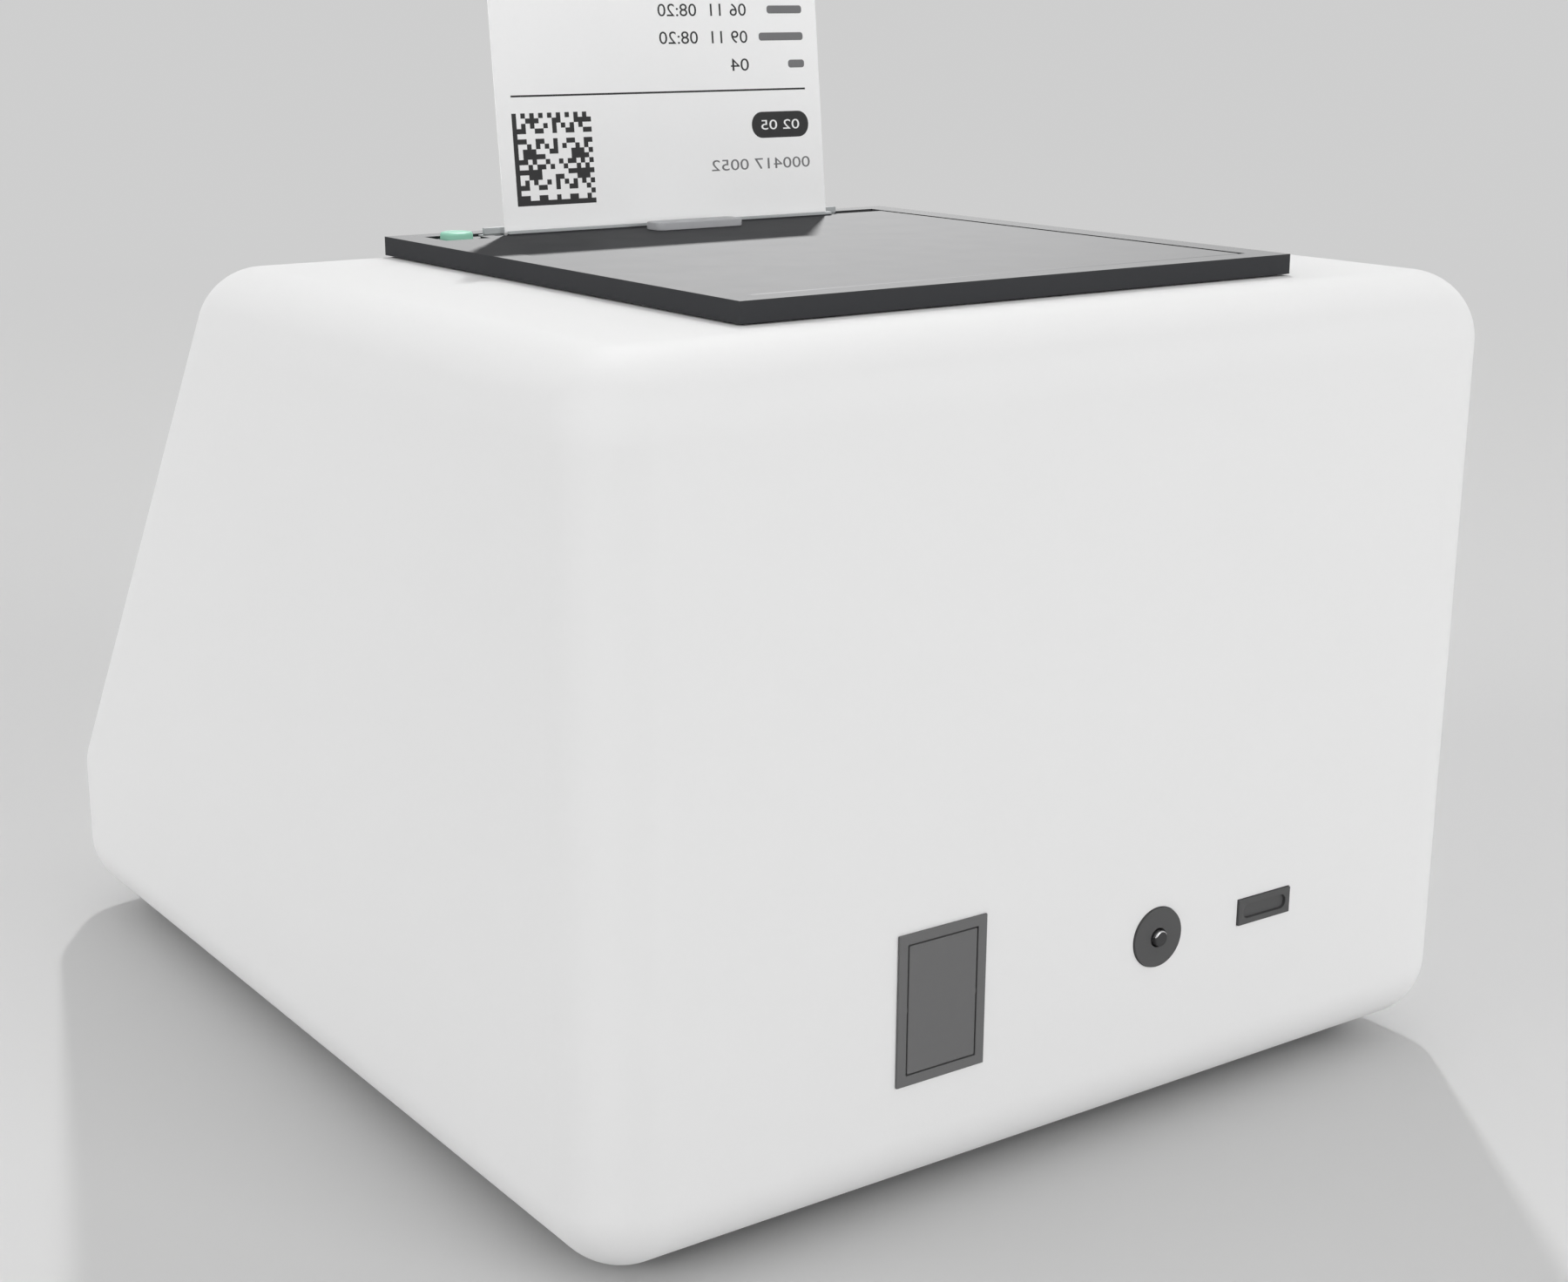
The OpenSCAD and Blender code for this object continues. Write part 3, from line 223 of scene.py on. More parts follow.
moulded.links.new(noise(moulded, place, given.outputs["Grain"], 2.0), gives.inputs["Height"])


def finish(name, group, values, height=0.00002, strength=0.3, **plain):
    """A material whose colour, roughness and surface height come from a group."""
    made = bpy.data.materials.new(name)
    made.use_nodes = True
    tree = made.node_tree
    skin = tree.nodes["Principled BSDF"]
    effect = tree.nodes.new("ShaderNodeGroup")
    effect.node_tree = group
    for key, value in values.items():
        effect.inputs[key].default_value = value
    tree.links.new(effect.outputs["Colour"], skin.inputs["Base Color"])
    tree.links.new(effect.outputs["Roughness"], skin.inputs["Roughness"])
    bump = tree.nodes.new("ShaderNodeBump")
    bump.inputs["Distance"].default_value = height
    bump.inputs["Strength"].default_value = strength
    tree.links.new(effect.outputs["Height"], bump.inputs["Height"])
    tree.links.new(bump.outputs["Normal"], skin.inputs["Normal"])
    for key, value in plain.items():
        skin.inputs[key.replace("_", " ")].default_value = value
    return made


def plastic(name, colour, gloss, drift=0.05, grain=3500.0, **plain):
    """A moulded plastic, with little shine unless its own is given."""
    values = {"Colour": (*colour, 1.0), "Gloss": gloss, "Tone drift": drift, "Grain": grain}
    return finish(name, moulded, values, **{"Specular_IOR_Level": 0.1, **plain})


def settle(obj):
    """Makes the result of an object's modifiers its own mesh."""
    bpy.context.view_layer.update()
    found = obj.evaluated_get(bpy.context.evaluated_depsgraph_get())
    mesh = bpy.data.meshes.new_from_object(found)
    mesh.name = obj.name
    obj.modifiers.clear()
    obj.data = mesh


def smooth(obj, crease=32.0):
    """Smooth shading that stays flat on flat faces and breaks at creases."""
    shape = bmesh.new()
    shape.from_mesh(obj.data)
    for face in shape.faces:
        face.smooth = True
    for edge in shape.edges:
        edge.smooth = edge.is_manifold and edge.calc_face_angle() < radians(crease)
    shape.to_mesh(obj.data)
    shape.free()
    level = obj.modifiers.new("level", "WEIGHTED_NORMAL")
    level.keep_sharp = True
    level.weight = 100
    settle(obj)


def piece(name, mesh, body, slot, material, *nodes):
    """An object of one material that rides on a body, and stands for solids where any are given."""
    obj = bpy.data.objects.new(name, mesh)
    scene.collection.objects.link(obj)
    obj.data.materials.clear()
    obj.data.materials.append(material)
    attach(obj, body)
    if nodes:
        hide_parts(*nodes)
    return obj


slot_of = {sub["node"]: sub["material_slot"] for sub in frame["record"]["subparts"]}
body_of = {node: body for body, nodes in frame["record"]["behaviour"]["bodies"].items() for node in nodes}


def filled_afresh(mesh, flat):
    """Fills each flat face of a mesh again from its outline and its holes."""
    shape = bmesh.new()
    shape.from_mesh(mesh)
    seen = set()
    regions = []
    for start in shape.faces:
        if start in seen:
            continue
        seen.add(start)
        region = [start]
        for face in region:
            for edge in face.edges:
                level = edge.is_manifold and edge.calc_face_angle() < flat
                for near in edge.link_faces:
                    if level and near not in seen:
                        seen.add(near)
                        region.append(near)
        regions.append(region)
    for region in regions:
        if len(region) > 1:
            facing = max(region, key=lambda face: face.calc_area()).normal.copy()
            edges = list(dict.fromkeys(edge for face in region for edge in face.edges))
            inside = [edge for edge in edges if all(face in region for face in edge.link_faces)]
            rim = [edge for edge in edges if edge not in inside]
            bmesh.ops.delete(shape, geom=region, context="FACES_ONLY")
            for edge in inside:
                shape.edges.remove(edge)
            bmesh.ops.triangle_fill(shape, use_beauty=True, edges=rim, normal=facing)
    bmesh.ops.recalc_face_normals(shape, faces=shape.faces)
    bmesh.ops.delete(shape, geom=[v for v in shape.verts if not v.link_edges], context="VERTS")
    shape.to_mesh(mesh)
    shape.free()
    mesh.update()


def eased(node, material, ease, steps=2, crease=32.0, clamp=True, least=9.0):
    """A solid's form with its sharp edges eased, as a mould leaves them. Small rims stay sharp."""
    shape = bmesh.new()
    shape.from_mesh(frame["nodes"][node].data)
    bmesh.ops.remove_doubles(shape, verts=shape.verts, dist=1e-6)
    flat = radians(0.6)
    bmesh.ops.dissolve_limit(shape, angle_limit=flat, verts=shape.verts, edges=shape.edges)
    weight = shape.edges.layers.float.new("bevel_weight_edge")
    turn = radians(crease)
    sharp = dict.fromkeys(e for e in shape.edges if e.is_manifold and e.calc_face_angle() > turn)
    while sharp:
        chain = [sharp.popitem()[0]]
        for edge in chain:
            for near in [e for v in edge.verts for e in v.link_edges if e in sharp]:
                if near in sharp:
                    del sharp[near]
                    chain.append(near)
        if sum(edge.calc_length() for edge in chain) > least * MM:
            for edge in chain:
                edge[weight] = 1.0
    mesh = bpy.data.meshes.new(node)
    shape.to_mesh(mesh)
    shape.free()
    obj = piece(node + "_eased", mesh, body_of[node], slot_of[node], material, node)
    bevel = obj.modifiers.new("ease", "BEVEL")
    bevel.width = ease * MM
    bevel.segments = steps
    bevel.limit_method = "WEIGHT"
    bevel.miter_outer = "MITER_ARC"
    bevel.loop_slide = False
    bevel.use_clamp_overlap = clamp
    settle(obj)
    filled_afresh(obj.data, flat)
    smooth(obj, crease)
    return obj


def dress(material, *nodes):
    """Gives solids that stay as they are a better material."""
    for node in nodes:
        frame["nodes"][node].data.materials.clear()
        frame["nodes"][node].data.materials.append(material)


base_grey = plastic("base_grey", (0.045, 0.046, 0.048), 0.55)
eased("base_plate", base_grey, 0.3, clamp=False, least=20.0)
foot_rubber = plastic("foot_rubber", (0.022, 0.022, 0.022), 0.8, drift=0.15, grain=1800.0)
eased("rubber_feet", foot_rubber, 0.15)

# Screws, steel plates and pins: cut and turned from zinc-plated steel, so the plating
# carries fine streaks along the width of the printer and dull patches.
plated = bpy.data.node_groups.new("plated_metal", "ShaderNodeTree")
given, gives = group_sockets(
    plated,
    [("Colour", "colour", (0.6, 0.6, 0.6, 1.0)), ("Streak", "value", 0.12), ("Gloss", "value", 0.32)],
    [("Colour", "colour"), ("Roughness", "value"), ("Height", "value")])
place = plated.nodes.new("ShaderNodeTexCoord").outputs["Object"]
stretch = plated.nodes.new("ShaderNodeMapping")
streak_scale, patch_scale = (60.0, 1400.0, 1400.0), 120.0
stretch.inputs["Scale"].default_value = streak_scale
plated.links.new(place, stretch.inputs["Vector"])
streaks = noise(plated, stretch.outputs["Vector"], 1.0, 3.0)
patches = noise(plated, place, patch_scale, 3.0)
tone = sum_of(plated, "MULTIPLY", swing(plated, streaks, given.outputs["Streak"]),
              swing(plated, patches, 0.1))
plated.links.new(tinted(plated, given.outputs["Colour"], tone), gives.inputs["Colour"])
dull = sum_of(plated, "MULTIPLY", swing(plated, patches, 0.5), swing(plated, streaks, 0.4))
plated.links.new(sum_of(plated, "MULTIPLY", given.outputs["Gloss"], dull), gives.inputs["Roughness"])
plated.links.new(streaks, gives.inputs["Height"])


def metal(name, colour, gloss, streak=0.12):
    """A plated, painted or turned metal, by its colour and how streaky it is."""
    values = {"Colour": (*colour, 1.0), "Gloss": gloss, "Streak": streak}
    return finish(name, plated, values, height=0.000004, Metallic=1.0)


zinc = metal("zinc_plate", (0.60, 0.61, 0.62), 0.34)
dress(zinc, "base_screws", "bin_screws", "board_screws", "mech_screws", "motor_screws")

# Circuit boards: green solder mask over copper tracks on glass laminate, with moulded
# chips and cans soldered on. The main board is screwed to the base plate's bosses.
board = bpy.data.node_groups.new("board_mask", "ShaderNodeTree")
given, gives = group_sockets(
    board, [("Colour", "colour", (0.02, 0.16, 0.07, 1.0)), ("Track", "colour", (0.03, 0.26, 0.12, 1.0))],
    [("Colour", "colour"), ("Roughness", "value"), ("Height", "value")])
place = board.nodes.new("ShaderNodeTexCoord").outputs["Object"]
tracks = board.nodes.new("ShaderNodeTexBrick")
tracks.offset = 0.37
tracks.inputs["Scale"].default_value = 160.0
tracks.inputs["Mortar Size"].default_value = 0.03
tracks.inputs["Brick Width"].default_value = 2.7
tracks.inputs["Row Height"].default_value = 0.21
board.links.new(place, tracks.inputs["Vector"])
board.links.new(given.outputs["Colour"], tracks.inputs["Color1"])
board.links.new(given.outputs["Colour"], tracks.inputs["Color2"])
board.links.new(given.outputs["Track"], tracks.inputs["Mortar"])
board.links.new(tracks.outputs["Color"], gives.inputs["Colour"])
mask_gloss, mask_scale = 0.32, 300.0
mask_dull = swing(board, noise(board, place, mask_scale), 0.4)
board.links.new(sum_of(board, "MULTIPLY", mask_dull, mask_gloss), gives.inputs["Roughness"])
board.links.new(tracks.outputs["Fac"], gives.inputs["Height"])
mask_colours = {"Colour": (0.018, 0.15, 0.065, 1.0), "Track": (0.03, 0.25, 0.11, 1.0)}
solder_mask = finish("solder_mask", board, mask_colours, height=0.00003)
dress(solder_mask, "main_board", "io_board", "button_board")
chip_black = plastic("chip_black", (0.02, 0.02, 0.021), 0.5, drift=0.12, grain=5000.0)
dress(chip_black, "board_chips", "tact_switch", "gap_sensor")

# Roll bin: two moulded cheeks and a trough in one dark piece, screwed to the base plate.
# Slots in the cheeks take the roll's spindle.
bin_plastic = plastic("bin_plastic", (0.095, 0.097, 0.10), 0.5)
eased("roll_bin", bin_plastic, 0.3)

# Print mechanism: a folded steel frame that carries the drive and the printhead between
# its side plates, with a motor on a bracket at the left.
frame_steel = metal("frame_steel", (0.58, 0.59, 0.60), 0.3)
dress(frame_steel, "mech_frame", "motor_bracket")
dress(zinc, "gear_axle", "motor_shaft", "platen_shaft", "head_pivot", "hinge_pins")


def sprung(node):
    """A coil of spring wire, a smooth-shaded copy of its solid that rides on the root."""
    coil = piece(node + "_coil", frame["nodes"][node].data.copy(), "root", slot_of[node], zinc, node)
    smooth(coil, 50.0)
    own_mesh(coil)


sprung("head_springs")
motor_coat = metal("motor_coat", (0.32, 0.33, 0.34), 0.42, streak=0.2)
eased("motor_case", motor_coat, 0.4, 3, clamp=False)
brass = metal("turned_brass", (0.70, 0.50, 0.20), 0.28)
dress(brass, "motor_pinion", "switch_blades")
acetal = plastic("gear_acetal", (0.76, 0.74, 0.66), 0.42, Subsurface_Weight=0.08,
                 Subsurface_Radius=(0.002, 0.002, 0.002))
dress(acetal, "platen_gear", "reduction_gear", "platen_bushes")
head_glaze = plastic("head_glaze", (0.74, 0.70, 0.60), 0.18, drift=0.08, grain=600.0)
dress(head_glaze, "thermal_printhead")
aluminium = metal("heatsink_aluminium", (0.74, 0.75, 0.76), 0.3, streak=0.2)
dress(aluminium, "head_heatsink")

# Body shell: one white moulding with a 10.5 mm rounding on every outer edge and a 2.5 mm
# wall. It is open below for the base plate, above for the deck and behind for the connectors.
body_w, body_d, body_h = 160.0, 189.3, 120.2
lip_h, top_d, rear_lean = 27.8, 117.6, 1.5
edge_r, wall = 10.5, 2.5
shell_z = 3.5
top_z = shell_z + body_h
rear_y = body_d / 2
profile = [(rear_y - rear_lean, shell_z), (rear_y, top_z), (rear_y - top_d, top_z),
           (-rear_y, shell_z + lip_h), (-rear_y, shell_z)]
round_steps = 20


def edge_normals(outline):
    """The outward direction of each side of an outline."""
    pairs = zip(outline, outline[1:] + outline[:1])
    return [Vector((b[1] - a[1], a[0] - b[0])).normalized() for a, b in pairs]


def drawn_in(outline, inset):
    """The corners of an outline whose sides all move in by an inset."""
    normals = edge_normals(outline)
    corners = []
    for i, corner in enumerate(outline):
        before, after = normals[i - 1], normals[i]
        corners.append(Vector(corner) - (before + after) * inset / (1.0 + before.dot(after)))
    return corners


def rounded_form(name, inset):
    """The body's form with rounded edges, drawn in by an inset from its skin."""
    normals = edge_normals(profile)
    corners = drawn_in(profile, edge_r)
    r = edge_r - inset
    turns = []
    for i in range(len(corners)):
        first = atan2(normals[i - 1].y, normals[i - 1].x)
        sweep = (atan2(normals[i].y, normals[i].x) - first) % (2 * pi)
        steps = max(3, round(sweep / (pi / 2) * round_steps))
        turns.append([first + sweep * k / steps for k in range(steps + 1)])
    shape = bmesh.new()

    def ring(x, reach):
        return [shape.verts.new(Vector((x, c.x + reach * cos(a), c.y + reach * sin(a))) * MM)
                for c, turn in zip(corners, turns) for a in turn]

    def cap(x):
        return [shape.verts.new(Vector((x, c.x, c.y)) * MM) for c in corners]

    flat = body_w / 2 - edge_r
    angles = [pi / 2 * k / round_steps for k in range(1, round_steps)]
    sides = []
    for side in (-1, 1):
        rings = [ring(side * (flat + r * sin(a)), r * cos(a)) for a in [0.0] + angles]
        sides.append((rings, cap(side * (flat + r))))
    count = len(sides[0][0][0])
    owner = [i for i, turn in enumerate(turns) for _ in turn]

    def band(low, high):
        for k in range(count):
            n = (k + 1) % count
            shape.faces.new((low[k], low[n], high[n], high[k]))

    band(sides[0][0][0], sides[1][0][0])
    for (rings, ends), turned in zip(sides, (True, False)):
        for low, high in zip(rings, rings[1:]):
            band(high, low) if turned else band(low, high)
        last = rings[-1]
        for k in range(count):
            n = (k + 1) % count
            a, b = ends[owner[k]], ends[owner[n]]
            corners_of = [last[k], last[n]] + ([a] if a is b else [b, a])
            shape.faces.new(corners_of[::-1] if turned else corners_of)
        shape.faces.new(ends[::-1] if turned else ends)
    bmesh.ops.recalc_face_normals(shape, faces=shape.faces)
    mesh = bpy.data.meshes.new(name)
    shape.to_mesh(mesh)
    shape.free()
    obj = bpy.data.objects.new(name, mesh)
    scene.collection.objects.link(obj)
    return obj


def cutter(name, low, high, move=None):
    """A block from its lowest to its highest corner, to cut with."""
    shape = bmesh.new()
    bmesh.ops.create_cube(shape, size=1.0)
    low, high = Vector(low) * MM, Vector(high) * MM
    for v in shape.verts:
        v.co = Vector([(a + b) / 2 + c * (b - a) for a, b, c in zip(low, high, v.co)])
    return cutting_tool(name, shape, move)


def round_cutter(name, r, low, high, move):
    """An upright round bar, to cut with or to add."""
    shape = bmesh.new()
    bmesh.ops.create_cone(shape, cap_ends=True, segments=64, radius1=r * MM, radius2=r * MM,
                          depth=(high - low) * MM)
    bmesh.ops.translate(shape, verts=shape.verts, vec=(0.0, 0.0, (low + high) / 2 * MM))
    return cutting_tool(name, shape, move)


def cutting_tool(name, shape, move):
    """An object of a shape, moved to its place."""
    if move:
        bmesh.ops.transform(shape, matrix=move, verts=shape.verts)
    mesh = bpy.data.meshes.new(name)
    shape.to_mesh(mesh)
    shape.free()
    obj = bpy.data.objects.new(name, mesh)
    scene.collection.objects.link(obj)
    return obj


def combine(obj, operation, tools):
    """Cuts tools out of an object, or joins them to it, and clears them away."""
    for tool in tools:
        cut = obj.modifiers.new("cut", "BOOLEAN")
        cut.operation = operation
        cut.solver = "EXACT"
        cut.object = tool
    settle(obj)
    for tool in tools:
        bpy.data.objects.remove(tool)


port_h = 28.9
port_z = shell_z + port_h
wall_y = rear_y - rear_lean * (1 - port_h / body_h)
rear_tilt = atan2(rear_lean, body_h)


def on_rear(x):
    """A place on the rear wall, with +Z out of the wall and +Y up along it."""
    turn = Matrix.Rotation(pi, 4, "Z") @ Matrix.Rotation(pi / 2 + rear_tilt, 4, "X")
    return Matrix.Translation(Vector((x, wall_y, port_z)) * MM) @ turn


plate_inset, screw_inset = 10.0, 16.0
plate_y0, plate_y1 = -rear_y + plate_inset, rear_y - rear_lean - plate_inset
plate_x = body_w / 2 - plate_inset
floor_x, floor_end = plate_x - 12.0, 8.0
screw_x = (floor_x + plate_x) / 2
screw_ys = (plate_y0 + screw_inset, plate_y1 - screw_inset)
screw_places = [Matrix.Translation(Vector((side * screw_x, y, 0.0)) * MM)
                for side in (-1, 1) for y in screw_ys]
boss_r, boss_h = 4.0, 11.0
screw_hole_r, screw_hole_h = 1.3, 10.0
mouth_x, mouth_y0, mouth_y1 = 45.95, -15.9, 77.4
past, cut_deep = 1.0, 5.0
hole_out = 2.5
switch_x, switch_half_w, switch_half_h = 25.4, 6.9, 10.4
socket_x, socket_half_w, socket_half_h = -35.8, 5.4, 2.1
jack_x, jack_r = -14.3, 4.6
shell_white = plastic("shell_white", (0.80, 0.80, 0.80), 0.6, drift=0.012, Specular_IOR_Level=0.003)
shell = rounded_form("body_shell", 0.0)
combine(shell, "DIFFERENCE", [rounded_form("hollow", wall)])
combine(shell, "UNION", [
    round_cutter("boss", boss_r, shell_z + wall / 2, shell_z + boss_h, screw) for screw in screw_places])
holes = [round_cutter("hole", screw_hole_r, shell_z - past, shell_z + screw_hole_h, screw)
         for screw in screw_places]
combine(shell, "DIFFERENCE", holes + [
    cutter("mouth", (-mouth_x, mouth_y0, top_z - cut_deep), (mouth_x, mouth_y1, top_z + past)),
    cutter("underside", (-floor_x, plate_y0 + floor_end, shell_z - past),
           (floor_x, plate_y1 - floor_end, shell_z + cut_deep)),
    cutter("switch_hole", (-switch_half_w, -switch_half_h, -cut_deep),
           (switch_half_w, switch_half_h, hole_out), on_rear(switch_x)),
    cutter("socket_hole", (-socket_half_w, -socket_half_h, -cut_deep),
           (socket_half_w, socket_half_h, hole_out), on_rear(socket_x)),
    round_cutter("jack_hole", jack_r, -cut_deep, hole_out, on_rear(jack_x))])
shell.data.materials.clear()
shell.data.materials.append(shell_white)
smooth(shell, 25.0)
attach(shell, "root")
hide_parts("upper_shell")

# Deck and tear bar: a charcoal satin plate with a shallow recess, clipped into the shell's
# mouth. A painted steel bar stands along the front of the paper slot to tear against.
deck_charcoal = plastic("deck_charcoal", (0.047, 0.048, 0.051), 0.56, drift=0.06, Specular_IOR_Level=0.03)
eased("top_deck", deck_charcoal, 0.04, least=20.0)
bar_colour = (0.45, 0.47, 0.475)
bar_paint = plastic("bar_paint", bar_colour, 0.5, drift=0.06, grain=2500.0, Specular_IOR_Level=0.015)
eased("tear_bar", bar_paint, 0.06)

# Door and platen: the door fills the recess and turns on two pins at its rear edge. It
# carries a glued finger tab, and the rubber platen turns in bushes under its front edge. The
# lip that guides the label is painted along its top.
lip_paint_h = 0.38
door_charcoal = deck_charcoal.copy()
door_charcoal.name = "door_charcoal"
tree = door_charcoal.node_tree
skin = tree.nodes["Principled BSDF"]
height = tree.nodes.new("ShaderNodeSeparateXYZ")
tree.links.new(tree.nodes.new("ShaderNodeTexCoord").outputs["Object"], height.inputs["Vector"])
painted = sum_of(tree, "GREATER_THAN", height.outputs["Z"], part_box("media_door")[1][2] - lip_paint_h * MM)
coat = tree.nodes.new("ShaderNodeMix")
coat.data_type = "RGBA"
tree.links.new(painted, coat.inputs["Factor"])
tree.links.new(skin.inputs["Base Color"].links[0].from_socket, coat.inputs["A"])
coat.inputs["B"].default_value = (*bar_colour, 1.0)
tree.links.new(coat.outputs["Result"], skin.inputs["Base Color"])
eased("media_door", door_charcoal, 0.08)
tab_grey = plastic("tab_grey", (0.44, 0.445, 0.46), 0.42, Specular_IOR_Level=0.08)
eased("door_tab", tab_grey, 0.2)
platen_rubber = plastic("platen_rubber", (0.024, 0.024, 0.026), 0.75, drift=0.1, grain=2600.0)
eased("platen_roller", platen_rubber, 0.2)

# Label roll: coated paper wound on a board core, held by two flanged hubs on a spindle. The
# edges of the turns show as fine rings on its ends.
paper = bpy.data.node_groups.new("paper_fibre", "ShaderNodeTree")
given, gives = group_sockets(
    paper, [("Colour", "colour", (0.8, 0.8, 0.79, 1.0)), ("Gloss", "value", 0.55), ("Mottle", "value", 0.03)],
    [("Colour", "colour"), ("Roughness", "value"), ("Height", "value")])
place = paper.nodes.new("ShaderNodeTexCoord").outputs["Object"]
fibres = noise(paper, place, 1500.0, 5.0)
cloud = noise(paper, place, 160.0, 3.0)
tone = sum_of(paper, "MULTIPLY", swing(paper, cloud, given.outputs["Mottle"]),
              swing(paper, fibres, given.outputs["Mottle"]))
paper.links.new(tinted(paper, given.outputs["Colour"], tone), gives.inputs["Colour"])
paper_dull = swing(paper, fibres, 0.3)
paper.links.new(sum_of(paper, "MULTIPLY", given.outputs["Gloss"], paper_dull), gives.inputs["Roughness"])
paper.links.new(fibres, gives.inputs["Height"])
label_paper = finish("label_paper", paper, {"Colour": (0.95, 0.95, 0.95, 1.0), "Gloss": 0.55},
                     height=0.00001, strength=0.2)
dress(label_paper, "label_web")
roll_y, roll_z = 33.0, 80.2
roll_paper = finish("roll_paper", paper, {"Colour": (0.80, 0.80, 0.79, 1.0), "Gloss": 0.55}, height=0.00003)
tree = roll_paper.node_tree
place = tree.nodes.new("ShaderNodeTexCoord").outputs["Object"]
centred = tree.nodes.new("ShaderNodeVectorMath")
centred.operation = "SUBTRACT"
centred.inputs[1].default_value = (0.0, roll_y * MM, roll_z * MM)
flatten = tree.nodes.new("ShaderNodeVectorMath")
flatten.operation = "MULTIPLY"
flatten.inputs[1].default_value = (0.0, 1.0, 1.0)
reach = tree.nodes.new("ShaderNodeVectorMath")
reach.operation = "LENGTH"
tree.links.new(place, centred.inputs[0])
tree.links.new(centred.outputs["Vector"], flatten.inputs[0])
tree.links.new(flatten.outputs["Vector"], reach.inputs[0])
ring_scale = 2600.0
rings = noise(tree, reach.outputs["Value"], ring_scale, 2.0, "1D")
tint = tree.nodes.new("ShaderNodeMix")
tint.data_type = "RGBA"
tint.blend_type = "MULTIPLY"
tint.inputs["Factor"].default_value = 1.0
skin = tree.nodes["Principled BSDF"]
tree.links.new(skin.inputs["Base Color"].links[0].from_socket, tint.inputs["A"])
shade = tree.nodes.new("ShaderNodeMapRange")
shade.inputs["From Min"].default_value = 0.35
shade.inputs["From Max"].default_value = 0.65
shade.inputs["To Min"].default_value = 0.78
shade.inputs["To Max"].default_value = 1.0
tree.links.new(rings, shade.inputs["Value"])
tree.links.new(shade.outputs["Result"], tint.inputs["B"])
tree.links.new(tint.outputs["Result"], skin.inputs["Base Color"])
eased("label_roll", roll_paper, 0.15)
core_look = {"Colour": (0.42, 0.30, 0.19, 1.0), "Gloss": 0.8, "Mottle": 0.2}
core_board = finish("core_board", paper, core_look, height=0.00004)
dress(core_board, "roll_core")
eased("roll_hubs", bin_plastic, 0.2)
eased("roll_spindle", chip_black, 0.3)

# Printed label: a sheet of coated stock that stands out of the slot and leans on the tear
# bar. The thermal print is generic: bars, plain numbers, a pill and a square of dots.
label_w, label_len, label_t = 62.5, 56.0, 0.16
label_lean = radians(5.4)
label_foot = Vector((0.0, -11.13447, 120.1))
label_up = Vector((0.0, -sin(label_lean), cos(label_lean)))
label_out = Vector((0.0, cos(label_lean), sin(label_lean)))
curl = 0.25


def on_label(x, s, depth):
    """A place on the label: across, up from its foot and out of its rear face."""
    bow = -curl * (s / label_len) ** 2
    return (label_foot + Vector((x, 0.0, 0.0)) + label_up * s + label_out * (depth + bow)) * MM


def prism(shape, outline, half):
    """A closed sheet of even thickness with the given outline, in across and up."""
    front = [shape.verts.new(on_label(x, s, -half)) for x, s in outline]
    rear = [shape.verts.new(on_label(x, s, half)) for x, s in outline]
    shape.faces.new(front)
    shape.faces.new(rear[::-1])
    for i in range(len(outline)):
        n = (i + 1) % len(outline)
        shape.faces.new((front[n], front[i], rear[i], rear[n]))


def mesh_of(name, shape):
    """A mesh of a shape whose faces all look outwards."""
    bmesh.ops.recalc_face_normals(shape, faces=shape.faces)
    mesh = bpy.data.meshes.new(name)
    shape.to_mesh(mesh)
    shape.free()
    return mesh


rows = 28
columns = 16
shape = bmesh.new()
faces = []
for half in (-label_t / 2, label_t / 2):
    faces.append([[shape.verts.new(on_label(label_w * (i / columns - 0.5), label_len * j / rows, half))
                   for i in range(columns + 1)] for j in range(rows + 1)])
for grid in faces:
    for j in range(rows):
        for i in range(columns):
            shape.faces.new((grid[j][i], grid[j][i + 1], grid[j + 1][i + 1], grid[j + 1][i]))
front, rear = faces
for i in range(columns):
    for j in (0, rows):
        shape.faces.new((front[j][i], front[j][i + 1], rear[j][i + 1], rear[j][i]))
for j in range(rows):
    for i in (0, columns):
        shape.faces.new((front[j][i], front[j + 1][i], rear[j + 1][i], rear[j][i]))
sheet_mesh = mesh_of("label_sheet", shape)
sheet = piece("label_sheet", sheet_mesh, "label", "label_paper", label_paper, "printed_label")
smooth(sheet)

ink_half = label_t / 2 + 0.012
corner_steps = 8


def bar_outline(x0, x1, s0, s1, r):
    """A bar with rounded corners, in across and up."""
    corners = [(x1 - r, s0 + r, -90), (x1 - r, s1 - r, 0), (x0 + r, s1 - r, 90), (x0 + r, s0 + r, 180)]
    outline = []
    for x, s, start in corners:
        for k in range(corner_steps + 1):
            turn = radians(start + 90 * k / corner_steps)
            outline.append((x + r * cos(turn), s + r * sin(turn)))
    return outline


